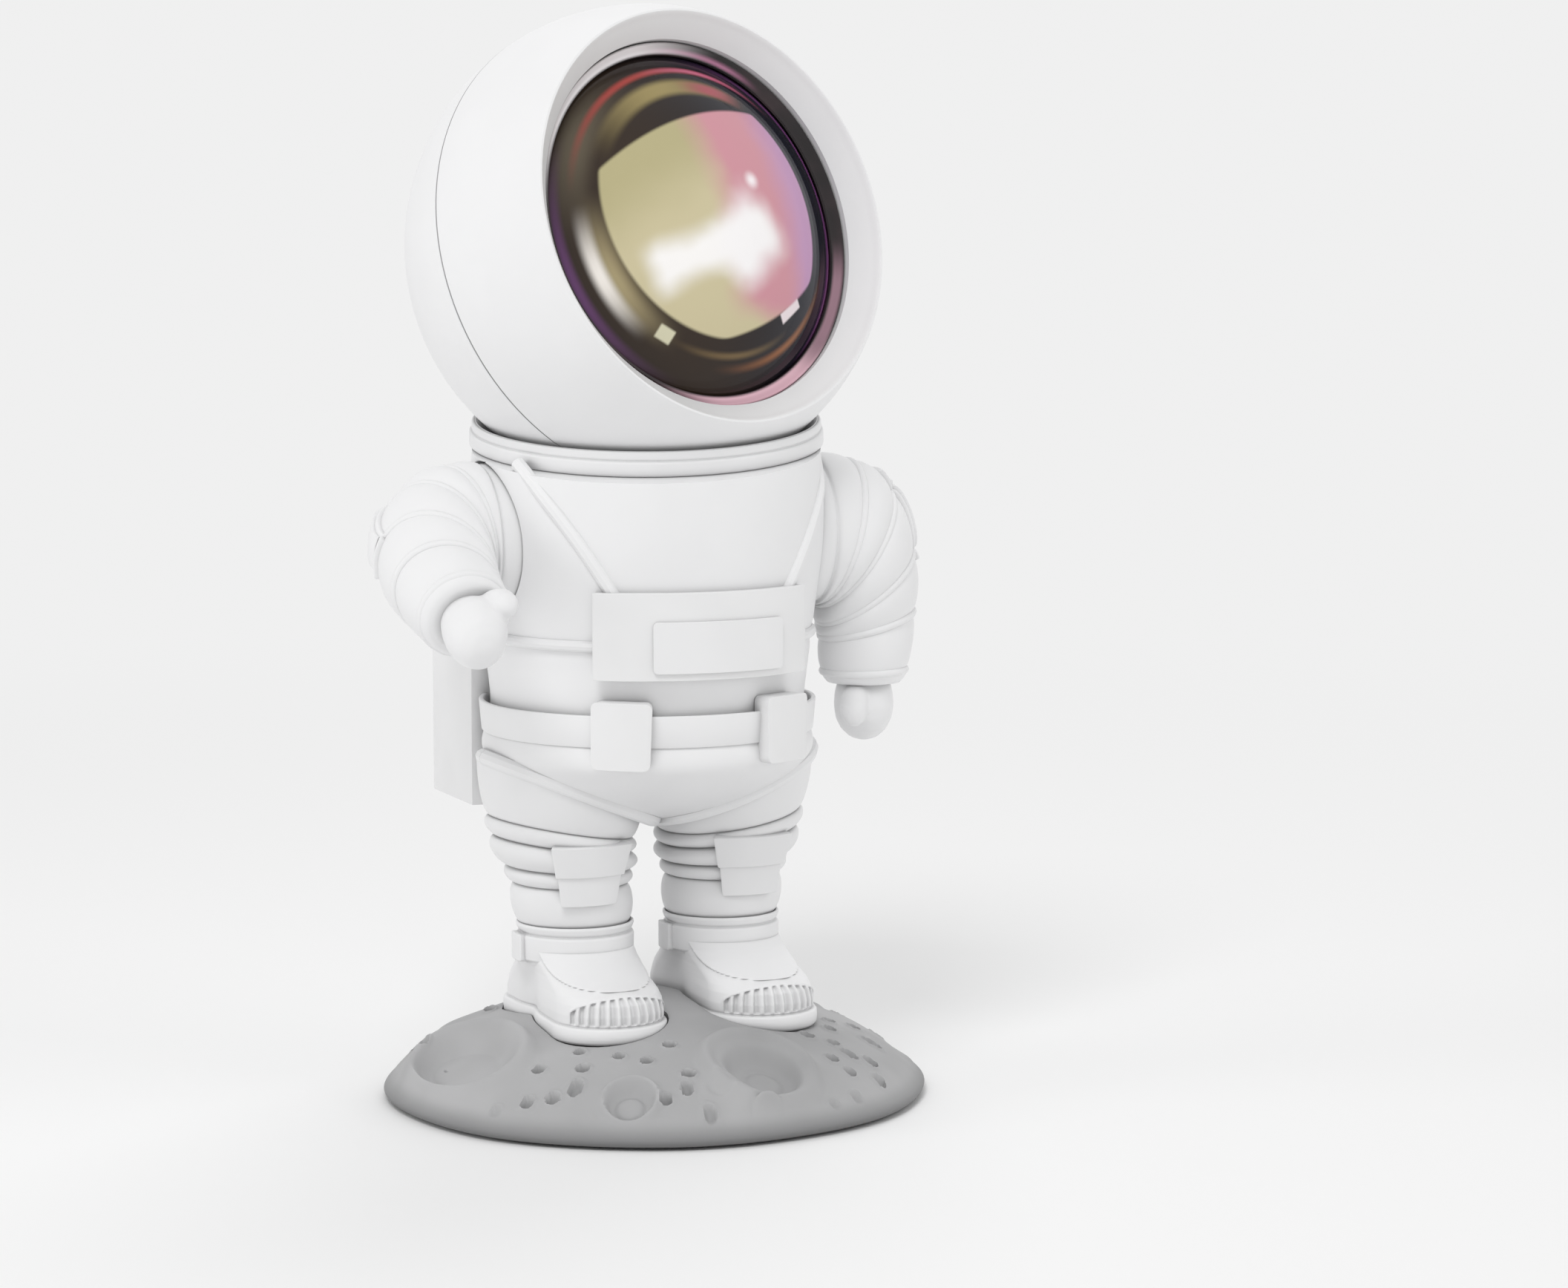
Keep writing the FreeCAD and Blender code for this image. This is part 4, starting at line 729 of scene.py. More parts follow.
class LAMP_OT_moon_base(Operator):
    """Cratered moon base with pockets for the boots"""
    bl_idname = "lamp.moon_base"
    bl_label = "Moon base"

    def execute(self, context):
        top, ball = 21.0, (58 ** 2 + 15.5 ** 2) / 31
        reach = [0.4 + 21.6 * i / 14 for i in range(14)]
        reach += [22 + 33.6 * i / 112 for i in range(113)]
        # past 44 mm the dome falls off faster, down to a low rounded rim
        rings = [ring(0, 0, top - ball + sqrt(ball ** 2 - r ** 2)
                      - 2.9 * (max(r - 44, 0) / 13.5) ** 1.8, r) for r in reach]
        foot = smooth_line([(56.3, 3.75), (57.2, 2.9), (57.6, 2.1), (57.35, 1.3), (56.6, 0.75),
                            (55.6, 0.55), (54, 0.6), (53, 0.9)], 3)
        foot += [(50.6, 1), (50.6, 3.3), (47.5, 3.3), (44.5, 5.5), (27.5, 11), (3, 11)]
        rings += [ring(0, 0, z, r) for r, z in foot]
        sides = 600
        piece = tube("cratered_moon_base", rings, sides)
        count = len(piece.data.vertices)
        spots = np.empty(count * 3)
        piece.data.vertices.foreach_get("co", spots)
        x, y, z = (spots.reshape(-1, 3) / MM).T
        far = np.hypot(x, y)
        upper = np.arange(count) < sides * len(reach)
        bearing = np.arctan2(x, -y)
        wave = (0.35 * np.sin(3 * bearing + 0.6) + 0.3 * np.sin(7 * bearing + 2)
                + 0.2 * np.sin(12 * bearing)) * np.clip((far - 40) / 15, 0, 1)
        fade = np.clip((55.8 - far) / 2.5, 0, 1)
        z += np.where(upper, (base_relief(x, y) + np.clip(wave, -1, 0.3)) * fade, 0)
        # the foot's outline isn't quite round
        uneven = 0.009 + 0.005 * np.sin(3 * bearing + 1) + 0.004 * np.sin(8 * bearing)
        outer = upper | (far > 52.9)
        shrink = 1 - np.where(outer, uneven * np.clip((far - 42) / 14, 0, 1), 0)
        spots = np.stack([x * shrink, y * shrink, z], 1) * MM
        piece.data.vertices.foreach_set("co", spots.ravel())
        piece.data.update()
        carve(piece, *[boot_space("boot_space", side, 0.45, 15.7, 32) for side in (-1, 1)])
        finish_piece(piece, "base", "moon_base", finish="moon", slot="moon_grey", angle=50)
        return {"FINISHED"}


# ---------------------------------------------------------------- boots
SOLE_LOW, SOLE_TOP = 15.85, 19.4
# a boot's outline by height above the sole: toe circle's distance and radius, heel's the same
BOOT = [(0, 17.4, 11.5, 12, 9.9), (2.2, 17.4, 11.6, 11.9, 9.9), (4.4, 17.0, 11.4, 10.8, 9.9),
        (5.8, 15.9, 11.1, 9.6, 10), (6.9, 13.8, 10.9, 8.2, 10.1), (8.2, 10.4, 10.7, 6.4, 10.3),
        (9.6, 6.8, 10.7, 4.2, 10.7), (11.2, 3.4, 10.9, 2, 10.9), (13, 0.8, 11.1, 0.8, 11.1)]


def boot_reach(bearing, height):
    """How far a boot's skin lies from its middle at a bearing and a height above the sole."""
    _, toe_y, toe, heel_y, heel = row_at(BOOT, height)
    return long_reach(bearing, toe_y, toe, heel_y, heel) - waist(bearing) * (1 - height / 16)


def boot_relief(bearing, height, reach):
    """How far a boot's moulded pattern stands out at a bearing from the toe and a height."""
    side = abs(bearing)
    round_toe = degrees(atan2(reach * sin(radians(side)), reach * cos(radians(side)) - 17.4))
    border = 0.5 + 5.5 * max(cos(radians(min(round_toe * 1.3, 90))), 0) ** 0.38
    inside = soft_step(border - height, 0.0, 0.3) * soft_step(67 - round_toe, 0, 3)
    inside *= soft_step(height, 0.4, 0.65)
    ribs = 0.5 + 0.5 * cos(radians(round_toe * 360 / 11))
    rise = inside * (-0.85 + 1.2 * ribs ** 1.2)
    rise += 0.4 * exp(-((height - border - 0.35) / 0.4) ** 2) * soft_step(69 - round_toe, 0, 4)
    edge = 6.75 + 6 * (min(side, 62) / 62) ** 2.2
    rise += 0.85 * soft_step(height - edge, 0, 0.25) * soft_step(64 - side, 0, 2)
    return rise - 0.3 * exp(-((height - 0.15) / 0.2) ** 2)


def make_boot(side):
    """Sole and upper with a ribbed toe, a raised tongue and a round ankle."""
    points = 480
    piece = fresh("boot", "circle", vertices=points, radius=1, fill_type="NGON")
    levels = [(-1.4, SOLE_LOW), (-0.5, SOLE_LOW + 0.15), (0, SOLE_LOW + 0.7),
              (0.1, SOLE_LOW + 1.9), (0, SOLE_TOP - 0.45), (-0.35, SOLE_TOP - 0.1),
              (-0.9, SOLE_TOP)]
    levels += [(0, SOLE_TOP + 0.02 + 12.8 * (i / 64) ** 1.05) for i in range(65)]
    # points crowd towards the ribbed toe
    shares = [2 * k / points - 1 for k in range(points)]
    bearings = [180 * (0.36 * t + 0.64 * t * abs(t) ** 1.5) for t in shares]
    edit(piece)
    for i, (grow, level) in enumerate(levels):
        if i:
            bpy.ops.mesh.extrude_region_move()
        mesh = bmesh.from_edit_mesh(piece.data)
        ends = sorted((v for v in mesh.verts if v.select), key=lambda v: v.index)
        height = level - SOLE_TOP
        for v, bearing in zip(ends, bearings):
            if height > 0:
                reach = boot_reach(bearing, height)
                reach += boot_relief(bearing, height, reach)
            else:
                reach = sole_reach(bearing) + grow
            v.co = Vector((reach * sin(radians(bearing)), -reach * cos(radians(bearing)),
                           level)) * MM
        bmesh.update_edit_mesh(piece.data)
    close(piece).data.transform(boot_place(side))
    return piece


class LAMP_OT_boots(Operator):
    """Both boots, with ribbed toe caps"""
    bl_idname = "lamp.boots"
    bl_label = "Boots"

    def execute(self, context):
        for word, side in SIDES:
            piece = make_boot(side)
            piece.name = word + "_ribbed_boot"
            finish_piece(piece, "figure", word + "_boot", angle=60)
        return {"FINISHED"}


# ---------------------------------------------------------------- legs
# creases between a leg's soft rings: level, middle x and y, half width, half depth, lean, and
# how far the ring above swells out and how square that swelling is
LEG = [(29, 16.5, 3, 11.2, 11.2, 0, 0.2, 1), (36.8, 16.6, 3.4, 10.7, 10.8, 0, 1.75, 0.42),
       (45.4, 17.2, 4, 11.4, 11.8, 1, 1.75, 0.45), (48.7, 17.7, 4.3, 12.0, 12.8, 2.5, 2.6, 0.42),
       (53.6, 18.8, 4.7, 13.5, 14.8, 8, 1.9, 0.45), (57.2, 19.1, 4.8, 14.5, 16.4, 10, 2.5, 0.42),
       (76, 19.2, 3.6, 15.6, 17.6, 14, 0, 1)]


def leg_rings(side):
    """Rings down one leg: fat puffs with narrow raised rings between them."""
    rings = []
    for low, high in zip(LEG, LEG[1:]):
        count = max(int((high[0] - low[0]) * 2.2), 11)
        for i in range(count):
            # rings crowd towards the creases
            t = 0.5 - 0.5 * cos(pi * i / count)
            level, x, y, wide, deep, lean = between(low[:6], high[:6], t)
            out = low[6] * sin(pi * t) ** low[7]
            rings.append(ring(side * x, y, level, wide + out, deep + out, lean=-side * lean))
    return rings


class LAMP_OT_legs(Operator):
    """Both legs with their puffs, straps and two-step knee pads"""
    bl_idname = "lamp.legs"
    bl_label = "Legs"

    def execute(self, context):
        for word, side in SIDES:
            leg = rounder(tube(word + "_leg_soft", leg_rings(side), 80))
            slope = radians(HIP_SLOPE)
            trim(leg, (0, 0, HIP_Z * MM), Vector((-side * sin(slope), 0, cos(slope))))
            spot = at(16.5 * side, AXIS_Y, 0)
            cuff = spun("cuff", [
                (10.6, 29.8), (11.9, 29.8), (12.3, 30.2), (12.4, 34.7), (12.15, 35.1),
                (11.6, 35.3), (11.5, 35.5), (12.0, 35.9), (12.4, 36.9), (12.3, 37.35),
                (11.9, 37.45), (11.3, 36.7), (10.6, 36.5)], spot, 112)
            soften(cuff, 0.16, 2, 25)
            buckle = wrapped("buckle", lambda a, z: 13.3, 29.6, 35.3, 15, -93, 0.4, 10, 6, 1.5,
                             0.25, spot=spot)
            pads = []
            for low, high, half, foot, head in ((48.5, 55.0, 30.5, 15.6, 17.2),
                                                (42.3, 48.9, 27, 14.2, 15.1)):
                pads.append(wrapped(
                    "pad", lambda a, z, low=low, high=high, foot=foot, head=head:
                    foot + (head - foot) * (z - low) / (high - low), low, high, half,
                    1, 0.25, 28, 10, 2.6, 0.16, -0.04, spot=at(18 * side, 3.6, 0)))
            piece = merge(word + "_puffed_leg", leg, cuff, buckle, *pads)
            finish_piece(piece, "figure", word + "_leg")
        return {"FINISHED"}


# ---------------------------------------------------------------- trunk
TRUNK = [(57.6, 0.5), (58, 3.4), (59, 8.4), (60, 12.4), (61.3, 16.8), (62.8, 20.8), (64.4, 24.2),
         (66.2, 27.4), (68.2, 30.3), (70.2, 32.6), (72.2, 34.3), (74, 34.9), (75.8, 34.8),
         (77.4, 34.3), (80, 33.5), (84, 33), (90, 33.6), (98, 34.6), (106.5, 35.7),
         (115, 36.8), (121, 37.1), (128, 37), (134, 36.6), (TRUNK_TOP, 35.8)]
TRUNK_ROWS = smooth_line(TRUNK, 4)


def trunk_reach(level):
    """The trunk's radius at a level."""
    return row_at(TRUNK_ROWS, level)[1]


def on_trunk(bearing, level, out=0.0):
    """A point on the trunk's skin, bearing in degrees left of the front."""
    radius = trunk_reach(level) + out
    a = radians(bearing)
    return (radius * sin(a), AXIS_Y - radius * cos(a), level)


def hip_line(side):
    """Points of the hip piping, a ring about the top of a thigh in the hip's slanting plane."""
    points = []
    for a in range(0, 360, 12):
        c, s = cos(radians(a)), sin(radians(a))
        x = 17.9 - 17.9 * c
        y = AXIS_Y - (18.5 if s > 0 else 16.2) * s
        points.append((side * x, y, HIP_Z + 0.404 * x + 0.7))
    return points


def harness_line(side):
    """Points of one shoulder strap from the collar to the chest panel."""
    points = []
    for i in range(9):
        level = 134.4 - 26.4 * i / 8
        x = 34.2 - 15.6 * i / 8
        points.append(on_trunk(side * degrees(asin(x / trunk_reach(level))), level,
                               -0.35 - 1.2 * max(1 - i / 2, 0)))
    return points


class LAMP_OT_trunk(Operator):
    """Trunk in a front and a back half, with its pipings and harness"""
    bl_idname = "lamp.trunk"
    bl_label = "Trunk"

    def execute(self, context):
        rings = [ring(0, AXIS_Y, 57.55, 3)]
        for i in range(0, 71):
            level = 57.9 + (TRUNK_TOP - 57.9) * (i / 70) ** 1.2
            groove = exp(-((level - 96.6) / 0.4) ** 2) + exp(-((level - 99.2) / 0.4) ** 2)
            rings.append(ring(0, AXIS_Y, level, trunk_reach(level) - 0.4 * groove))
        rings += [ring(0, AXIS_Y, z, r) for r, z in (
            (35.2, 143.8), (31.6, 143.6), (31.4, 136), (24.2, 131.4), (24.2, 129),
            (10.2, 122.4), (10.2, 117.2), (2, 117.1))]
        trunk = rounder(tube("trunk", rings, 96))
        carve(trunk, spun("collar_space", [(31, -41.36), (60, -41.36), (60, -10), (31, -10)],
                          COLLAR, 96))
        for side in (-1, 1):
            carve(trunk, tube("socket", [
                ring(x * side, AXIS_Y, SHOULDER_Z, 16.35, lean=90) for x in (29.4, 50)], 96))
            carve(trunk, block("below", (90, 120, 60), 0.01, at(0, 0, HIP_Z)
                               @ turn(-HIP_SLOPE * side, "Y") @ at(45 * side, 0, -30.0)))
        lines = [cord_line("waist", [on_trunk(b, 97.9, -0.15) for b in range(0, 360, 10)], 1.2,
                           closed=True)]
        for side in (-1, 1):
            lines.append(cord_line("hip", hip_line(side), 1.65, closed=True))
            lines.append(cord_line("harness", harness_line(side), 1.5))
        for word, sign in (("front", 1), ("back", -1)):
            seam = ((0, (AXIS_Y - HALF_SEAM * sign) * MM, 0), (0, sign, 0))
            half = soften(trim(twin(trunk), *seam), 0.3, 2, 40)
            for line in lines:
                part = trim(twin(line), *seam)
                if len(part.data.vertices):
                    half = merge("half", half, part)
                else:
                    bpy.data.objects.remove(part)
            half.name = "trunk_%s_half" % word
            finish_piece(half, "figure", "torso_%s_shell" % word, angle=32)
        for piece in (trunk, *lines):
            bpy.data.objects.remove(piece)
        return {"FINISHED"}


class LAMP_OT_collar(Operator):
    """Collar ring with a thin lip round the head's seat"""
    bl_idname = "lamp.collar"
    bl_label = "Collar ring"

    def execute(self, context):
        seat = [(r, -sqrt(50.85 ** 2 - r ** 2)) for r in (31.1, 33, 34.6, 35.8)]
        piece = spun("collar_with_lip", [
            (31.1, -41.35), (36.8, -41.35), (37.2, -41.1), (37.25, -40.6), (37.2, -38.6),
            (36.95, -38.25), (36.55, -38.2), (36.5, -38.0), (36.75, -37.7), (36.7, -36.6),
            (36.5, -36.25), (36.15, -36.15), (35.95, -36.3)] + seat[::-1], COLLAR, 180)
        soften(piece, 0.12, 2, 30)
        finish_piece(piece, "figure", "collar_ring", angle=40)
        return {"FINISHED"}


class LAMP_OT_belt(Operator):
    """Belt standing off the waist, with two pouches"""
    bl_idname = "lamp.belt"
    bl_label = "Belt and pouches"

    def execute(self, context):
        band = spun("belt_band", [
            (33, 77.3), (34.7, 77.3), (34.9, 77.6), (35.4, 83.6), (35.3, 83.9),
            (34.5, 83.9), (34.3, 83.6), (33.9, 80.7), (33, 80.2)], BODY, 160)
        soften(band, 0.15, 2, 30)
        carve(band, block("gap", (66, 60, 60), 0.01, at(0, 51, 90)))
        finish_piece(band, "figure", "belt")
        for (word, side), roll in zip(SIDES, (1.2, 0.6)):
            spot = BODY @ turn(30 * side - 1.8, "Z") @ turn(roll, "Y")
            pouch = wrapped("pouch_" + word, lambda a, z: 40 - 2.1 / cos(a), 73.1, 86.9, 9.5,
                            0, 1.3, 14, 16, 4.4, 0.35, -0.02, spot=spot)
            finish_piece(pouch, "figure", "belt_pouch_" + word, finish="panel")
        return {"FINISHED"}


class LAMP_OT_chest(Operator):
    """Chest panel and its bare plate"""
    bl_idname = "lamp.chest"
    bl_label = "Chest panel"

    def execute(self, context):
        panel = wrapped("chest_panel_box", lambda a, z: 38, 91.4, 109.2, 37.9, 0, 0.25,
                        60, 14, 4.5, 0.22)
        finish_piece(panel, "figure", "chest_panel", finish="panel")
        plate = wrapped("bare_plate", lambda a, z: 38.8, 92.9, 103.4, 21.9, 2.8, 0.9, 36, 16,
                        0.9, 0.2)
        finish_piece(plate, "figure", "chest_plate", finish="trim")
        return {"FINISHED"}


class LAMP_OT_backpack(Operator):
    """Life-support pack on the back with its lid"""
    bl_idname = "lamp.backpack"
    bl_label = "Backpack"

    def execute(self, context):
        piece = fresh("backpack_box", "cube", size=1)
        piece.data.transform(at(0, 36.5, 92) @ Matrix.Diagonal((0.066, 0.031, 0.064, 1)))
        edit(piece)
        bpy.ops.mesh.select_mode(type="EDGE")
        bpy.ops.mesh.select_all(action="DESELECT")
        mesh = bmesh.from_edit_mesh(piece.data)
        for edge in mesh.edges:
            if min(v.co.y for v in edge.verts) > 0.051:
                edge.select_set(True)
        bmesh.update_edit_mesh(piece.data)
        bpy.ops.mesh.bevel(offset=0.006, segments=9)
        bpy.ops.object.mode_set(mode="OBJECT")
        carve(piece, tube("body_space", [ring(0, AXIS_Y, z, trunk_reach(z) + 0.05)
                                         for z in range(58, 134, 5)], 128))
        for side in (-1, 1):
            carve(piece, tube("sleeve_space", [
                ring(x * side, AXIS_Y, SHOULDER_Z, 17, lean=90) for x in (20, 60)], 96))
        soften(piece, 0.5, 2, 40)
        finish_piece(piece, "figure", "backpack", finish="panel", slot="grey_plastic")
        lid = block("pack_lid", (54, 1.2, 53), 0.5, at(0, 52.6, 92), 3)
        finish_piece(lid, "figure", "backpack_lid", finish="trim")
        return {"FINISHED"}


# ---------------------------------------------------------------- arms
# the sleeve's seams: x and z of each one's inner and outer end, from the shoulder
SLEEVE = [(0, -16, 0, 16), (1.2, -15.7, 8.9, 14.6), (2.1, -16.6, 17.3, 8.2),
          (2.8, -20.6, 22.6, -4.7), (3, -23.6, 23.4, -17.7), (3.4, -31, 21.8, -30.6)]
# how far the sleeve swells out between its seams
SWELLS = [1.2, 1.7, 1.7, 1.5, 1.2]


def sleeve_ring(ix, iz, ox, oz, swell):
    """Middle x and z, radius and lean of a ring between an inner and an outer point."""
    half = hypot(ox - ix, oz - iz) / 2 + swell - 0.7
    return ((ix + ox) / 2, (iz + oz) / 2, half, -degrees(atan2(oz - iz, ox - ix)))


def sleeve_rings():
    """Rings along the sleeve, each swollen between two moulded seams."""
    rows = smooth_line(SLEEVE, 10)
    rings = []
    for part, swell in enumerate(SWELLS):
        for i in range(10):
            # rings crowd towards the seams
            t = 0.5 - 0.5 * cos(pi * i / 10)
            row = (part + t) * 10
            ends = between(rows[int(row)], rows[min(int(row) + 1, len(rows) - 1)], row % 1)
            rings.append(sleeve_ring(*ends, swell * sin(pi * t) ** 0.42))
    return rings + [sleeve_ring(*rows[-1], 0)]


def make_arm(side):
    """One arm in its shoulder's frame: hub, sleeve, pipings, cuff, mitten and patch."""
    rows = sleeve_rings()
    piping = bpy.context.scene.lamp_sizes.piping / MM
    rings = [ring(x, 0, 0, r, lean=90) for x, r in (
        (-13.2, 3.9), (-7.6, 3.9), (-7.5, 15.6), (-7.2, 15.95), (-0.6, 15.95), (-0.3, 15.2))]
    rings += [ring(x, 0, z, half, lean=lean + 180) for x, z, half, lean in rows[1:]]
    sleeve = tube("sleeve", rings, 72)
    rounder(sleeve)
    pipes = []
    for index in (10, 20, 30, 40, 50):
        x, z, half, lean = rows[index]
        half += 0.35
        spot = at(x, 0, z) @ turn(lean, "Y")
        points = [(spot @ (Vector((cos(a), sin(a), 0)) * half * MM)) / MM
                  for a in map(radians, range(0, 360, 15))]
        pipes.append(cord_line("pipe", points, piping, closed=True))
    wrist = rows[-1][0]
    cuff = spun("cuff", [(4, -29.8), (8.9, -29.8), (9.3, -30.4), (9.2, -31.4), (8.6, -32.5),
                         (7.9, -33.3), (6.8, -33.5), (4, -33.4)], at(wrist, 0, 0), 64)
    palm = tube("palm", [ring(wrist, y, z, wide, deep) for y, z, wide, deep in (
        (0, -32, 5.4, 5.0), (0, -33.8, 5.8, 5.7), (0, -35.7, 6.2, 6.6), (0, -38.4, 6.3, 7.2),
        (0.1, -41.2, 5.9, 6.8), (0.2, -43.6, 4.7, 5.5), (0.2, -45.3, 2.9, 3.4),
        (0.2, -46, 0.8, 0.9))], 40)
    thumb = tube("thumb", [ring(wrist - x, y, z, r, tip=tip) for x, y, z, r, tip in (
        (3.2, -3.2, -33.6, 2.2, -18), (4.2, -4.6, -35.2, 2.8, -18), (4.9, -5.8, -37.4, 3, -12),
        (5.1, -6.3, -39.6, 2.8, -8), (5.1, -6.5, -41.4, 1.9, -4), (5.1, -6.5, -42.2, 0.7, 0))],
        28)
    hand = merge("hand", palm, thumb)
    modify(hand, "REMESH", mode="VOXEL", voxel_size=0.45 * MM)
    modify(hand, "SMOOTH", factor=0.6, iterations=8)
    patch = []
    for half, low, high, out in ((4.4, 0.3, 1.15, 0.0), (3.3, 0.42, 1.0, 0.7)):
        flap = fresh("patch", "grid", x_subdivisions=10, y_subdivisions=12, size=2)
        for v in flap.data.vertices:
            t = low + (high - low) * (v.co.y + 1) / 2
            row = 10 + 20 * t
            x, z, size, lean = between(rows[int(row)], rows[int(row) + 1], row % 1)
            a = v.co.x * half / size
            reach = size + 1.1 + out
            spot = at(x, 0, z) @ turn(lean, "Y")
            v.co = spot @ (Vector((reach * cos(a), reach * sin(a), 0)) * MM)
        modify(flap, "SOLIDIFY", thickness=2.2 * MM, offset=1)
        face_out(flap)
        soften(flap, 0.4, 3)
        patch.append(flap)
    arm = merge("arm", sleeve, *pipes, cuff, hand, *patch)
    arm.data.transform(shoulder(side))
    return face_out(arm)


class LAMP_OT_arms(Operator):
    """Both puffed arms with mittens"""
    bl_idname = "lamp.arms"
    bl_label = "Arms"

    def execute(self, context):
        for word, side in SIDES:
            arm = make_arm(side)
            arm.name = word + "_puffed_arm"
            finish_piece(arm, word + "_arm_swing", word + "_arm", angle=45)
        return {"FINISHED"}


# ---------------------------------------------------------------- head
class LAMP_OT_helmet(Operator):
    """Helmet in two shells with a thin seam between them"""
    bl_idname = "lamp.helmet"
    bl_label = "Helmet"

    def execute(self, context):
        ball, wall = 50.0, 47.8
        seam = degrees(asin(-3 / ball))
        rim = degrees(atan2(sqrt(ball ** 2 - 43.9 ** 2), 43.9))
        front = arc(ball, seam, rim, 26)
        front += [(43.55, 24.45), (43.15, 24.5), (42.8, 24.2), (42.5, 23.7)]
        front += [between((42.5, 23.7), (38.7, 19.3), t / 5) for t in range(1, 6)]
        front += [(38.7, 17.5), (44.3, 17.5)]
        front += arc(wall, 21.5, degrees(asin(-3 / wall)), 12)
        shell = spun("helmet_front", front, HEAD, 200)
        finish_piece(shell, "head", "helmet_front_shell", angle=30)
        back = degrees(asin(-3.45 / ball))
        rear = arc(ball, -90, back, 40)
        rear += [(49.2, -3.45), (49.1, -3.1), (47.5, -3.1), (47.5, 1), (45.8, 1), (45.8, -6)]
        rear += arc(wall, -9, -90, 20)
        shell = spun("helmet_rear", rear, HEAD, 200)
        hole = tube("button_hole", [ring(0, 0, -56, 5.58), ring(0, 0, -44, 5.58)], 64)
        hole.data.transform(HEAD)
        slot = block("socket_hole", (9.6, 3.8, 12), 0.3, HEAD @ at(0, -17, -46))
        carve(shell, hole, slot)
        finish_piece(shell, "head", "helmet_rear_shell", angle=30)
        return {"FINISHED"}


class LAMP_OT_lens(Operator):
    """Projection lens and the black ring that holds it"""
    bl_idname = "lamp.lens"
    bl_label = "Lens and ring"

    def execute(self, context):
        top, edge = 28.5, 15
        rise = top - edge
        ball = (LENS_RADIUS ** 2 + rise ** 2) / (2 * rise)
        profile = [(0, 10), (36.6, 10), (LENS_RADIUS, 10.4), (LENS_RADIUS, 14.8)]
        profile += arc(ball, degrees(atan2(ball - rise, LENS_RADIUS)), 90, 40, (0, top - ball))
        lens = spun("coated_projection_lens", profile, HEAD, 160)
        finish_piece(lens, "head", "projection_lens", finish="lens", slot="coated_glass",
                     angle=40)
        bezel = spun("lens_ring", [
            (37.1, 10), (43.2, 10), (43.2, 17.5), (38.5, 17.5), (38.5, 18.0), (38.3, 18.15),
            (37.8, 17.7), (37.3, 17), (36.6, 16.6), (36.2, 16.65), (36.0, 16.4),
            (36.1, 16.0), (37.1, 15.5)], HEAD, 160)
        finish_piece(bezel, "head", "lens_bezel", finish="bezel", slot="black_gloss",
                     angle=40)
        return {"FINISHED"}


# ---------------------------------------------------------------- carried-over frame nodes
CARRIED = {
    "base_cover": "black", "foot_pads": "rubber", "base_screws": "steel", "neck_cup": "grey",
    "neck_magnet": "steel", "right_arm_clip": "grey", "left_arm_clip": "grey",
    "light_tube": "black",
    "color_filter": "orange", "lens_screws": "steel", "led_board": "green",
    "led_emitter": "yellow", "heat_sink": "alloy", "driver_board": "green",
    "power_switch": "black", "power_button": "panel", "power_socket": "steel",
    "neck_keeper": "steel"}


class LAMP_OT_hardware(Operator):
    """Finishes on the CAD pieces that show as they are"""
    bl_idname = "lamp.hardware"
    bl_label = "Carried-over hardware"

    def execute(self, context):
        for name, finish in CARRIED.items():
            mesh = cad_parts[name].data
            mesh.materials.clear()
            mesh.materials.append(FINISHES[finish])
        return {"FINISHED"}


# ---------------------------------------------------------------- stage
class LAMP_OT_stage(Operator):
    """Pale floor, plain studio light and the camera"""
    bl_idname = "lamp.stage"
    bl_label = "Stage"

    def execute(self, context):
        floor = fresh("floor", "plane", size=12)
        made, tree, shader = plain_material("pale_floor", (0.93, 0.93, 0.93), 0.9)
        shader.inputs["Specular IOR Level"].default_value = 0.05
        # further out the floor turns into the backdrop
        spot = node(tree, "TexCoord").outputs["Object"]
        away = node(tree, "VectorMath", {0: spot}, operation="LENGTH").outputs["Value"]
        glow = node(tree, "Emission", {"Color": (1, 1, 1, 1), "Strength": 0.87})
        far = step_between(tree, away, 0.12, 0.9)
        mix = node(tree, "MixShader", {0: far, 1: shader.outputs[0], 2: glow.outputs[0]})
        tree.links.new(mix.outputs[0], tree.nodes["Material Output"].inputs[0])
        floor.data.materials.append(made)
        world = bpy.data.worlds.new("studio")
        context.scene.world = world
        world.use_nodes = True
        tree = world.node_tree
        back = tree.nodes["Background"]
        back.inputs["Strength"].default_value = 0.55
        seen = node(tree, "Background", {"Color": (1, 1, 1, 1), "Strength": 0.87})
        path = node(tree, "LightPath")
        direct = sums(tree, "MAXIMUM", path.outputs["Is Camera Ray"],
                      path.outputs["Is Glossy Ray"])
        direct = sums(tree, "MAXIMUM", direct, path.outputs["Is Transmission Ray"])
        mix = node(tree, "MixShader", {0: direct, 1: back.outputs[0], 2: seen.outputs[0]})
        tree.links.new(mix.outputs[0], tree.nodes["World Output"].inputs[0])
        back.inputs["Color"].default_value = (1, 1, 1, 1)
        for name, spot, size, power in (
                ("key", (-0.6, -0.75, 1.25), 0.55, 7), ("fill", (1.0, -0.8, 0.7), 0.9, 2.2),
                ("rake", (-1.2, 0.2, 0.42), 0.4, 2),
                ("back", (0.5, 0.7, 1.1), 0.7, 3.5)):
            light = bpy.data.lights.new(name, "AREA")
            light.size, light.energy = size, power
            lamp = bpy.data.objects.new(name, light)
            lamp.visible_glossy = False
            lamp.location = spot
            aim = Vector((0, 0, 0.11)) - lamp.location
            lamp.rotation_euler = aim.to_track_quat("-Z", "Y").to_euler()
            context.scene.collection.objects.link(lamp)
        add_camera(context.scene)
        context.scene.view_settings.view_transform = "Standard"
        return {"FINISHED"}


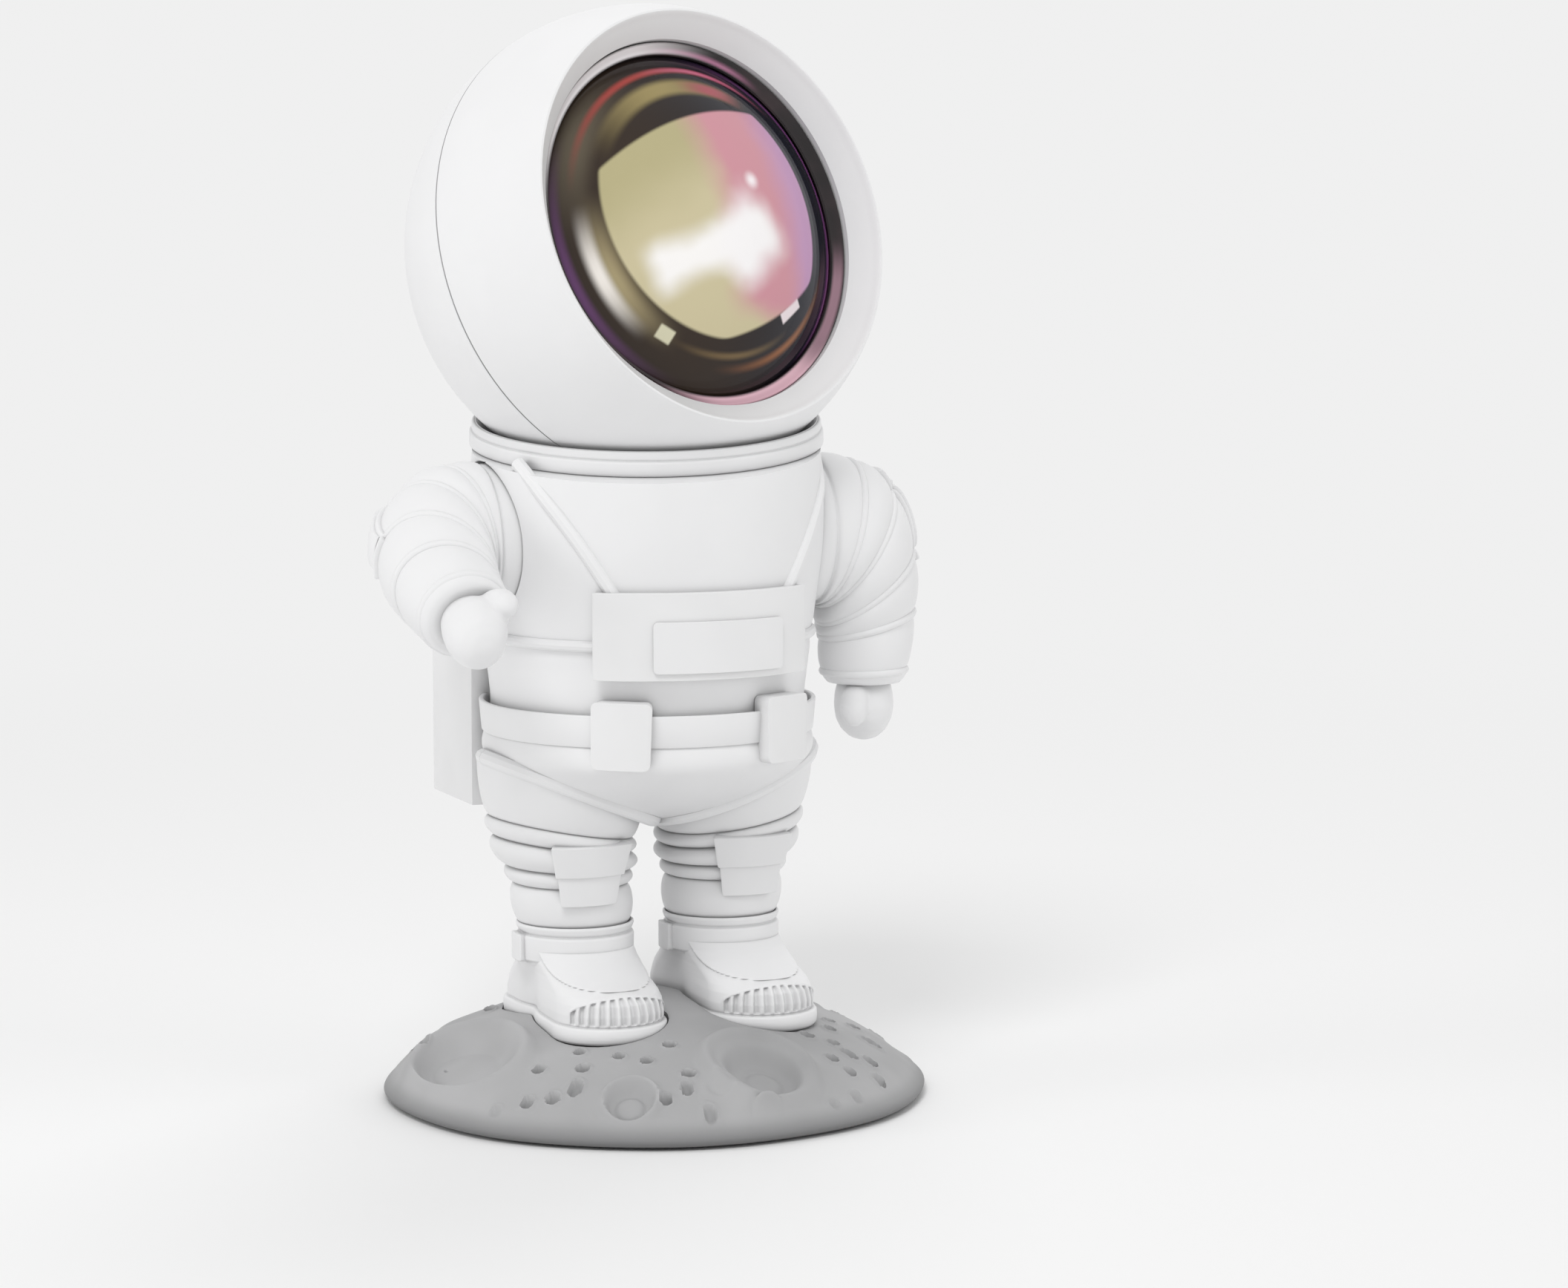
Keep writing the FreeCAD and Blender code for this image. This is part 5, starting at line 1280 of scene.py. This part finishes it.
def add_camera(scene):
    """The photograph's view, in pixels of a 2113 by 1736 picture."""
    wide, high = 2113, 1736
    away, level, length = 0.855, 0.190, 5530
    seen_x, seen_y, seen_level = 878, 1462, 0.001
    az = radians(-21)
    alpha = atan2(level - seen_level, away)
    pitch = alpha - atan2(seen_y - high / 2, length)
    side = atan2(wide / 2 - seen_x, length)
    out = Vector((-sin(az), cos(az), 0))
    across = Vector((cos(az), sin(az), 0))
    ahead = out * cos(side) + across * sin(side)
    right = across * cos(side) - out * sin(side)
    look = ahead * cos(pitch) - Vector((0, 0, sin(pitch)))
    up = right.cross(look)
    data = bpy.data.cameras.new("view")
    data.sensor_width = 36
    data.lens = 36 * length / wide
    camera = bpy.data.objects.new("view", data)
    spot = Vector((sin(az) * away, -cos(az) * away, level))
    turned = Matrix((right, up, -look)).transposed().to_4x4()
    camera.matrix_world = Matrix.Translation(spot) @ turned
    scene.collection.objects.link(camera)
    scene.camera = camera


# ---------------------------------------------------------------- add-on
class LampSizes(PropertyGroup):
    piping: FloatProperty(name="Piping", description="Radius of the sleeves' moulded pipings",
                          default=0.00095, unit="LENGTH")


class LampColours(PropertyGroup):
    shell: FloatVectorProperty(name="Shell", description="White of the figure and helmet",
                               default=(0.88, 0.88, 0.885), subtype="COLOR", size=3)
    panel: FloatVectorProperty(name="Panels", description="Slightly darker plates and pouches",
                               default=(0.865, 0.865, 0.868), subtype="COLOR", size=3)
    moon: FloatVectorProperty(name="Moon", description="Grey of the cratered base",
                              default=(0.48, 0.48, 0.485), subtype="COLOR", size=3)


STEPS = (LAMP_OT_moon_base, LAMP_OT_boots, LAMP_OT_legs, LAMP_OT_trunk, LAMP_OT_collar,
         LAMP_OT_belt, LAMP_OT_chest, LAMP_OT_backpack, LAMP_OT_arms, LAMP_OT_helmet,
         LAMP_OT_lens, LAMP_OT_hardware, LAMP_OT_stage)


class LAMP_PT_panel(Panel):
    """The lamp's pieces in the order they are made"""
    bl_label = "Astronaut lamp"
    bl_idname = "LAMP_PT_panel"
    bl_space_type = "VIEW_3D"
    bl_region_type = "UI"
    bl_category = "Lamp"

    def draw(self, context):
        for name in ("shell", "panel", "moon"):
            self.layout.prop(context.scene.lamp_colours, name)
        self.layout.prop(context.scene.lamp_sizes, "piping")
        for step in STEPS:
            self.layout.operator(step.bl_idname)


CLASSES = (LampSizes, LampColours, *STEPS, LAMP_PT_panel)


def register():
    for kind in CLASSES:
        bpy.utils.register_class(kind)
    bpy.types.Scene.lamp_sizes = PointerProperty(type=LampSizes)
    bpy.types.Scene.lamp_colours = PointerProperty(type=LampColours)


def unregister():
    del bpy.types.Scene.lamp_sizes, bpy.types.Scene.lamp_colours
    for kind in reversed(CLASSES):
        bpy.utils.unregister_class(kind)


def main():
    register()
    make_effects()
    FINISHES.update(make_finishes(bpy.context.scene.lamp_colours))
    for step in STEPS:
        group, name = step.bl_idname.split(".")
        getattr(getattr(bpy.ops, group), name)()


if __name__ == "__main__":
    main()
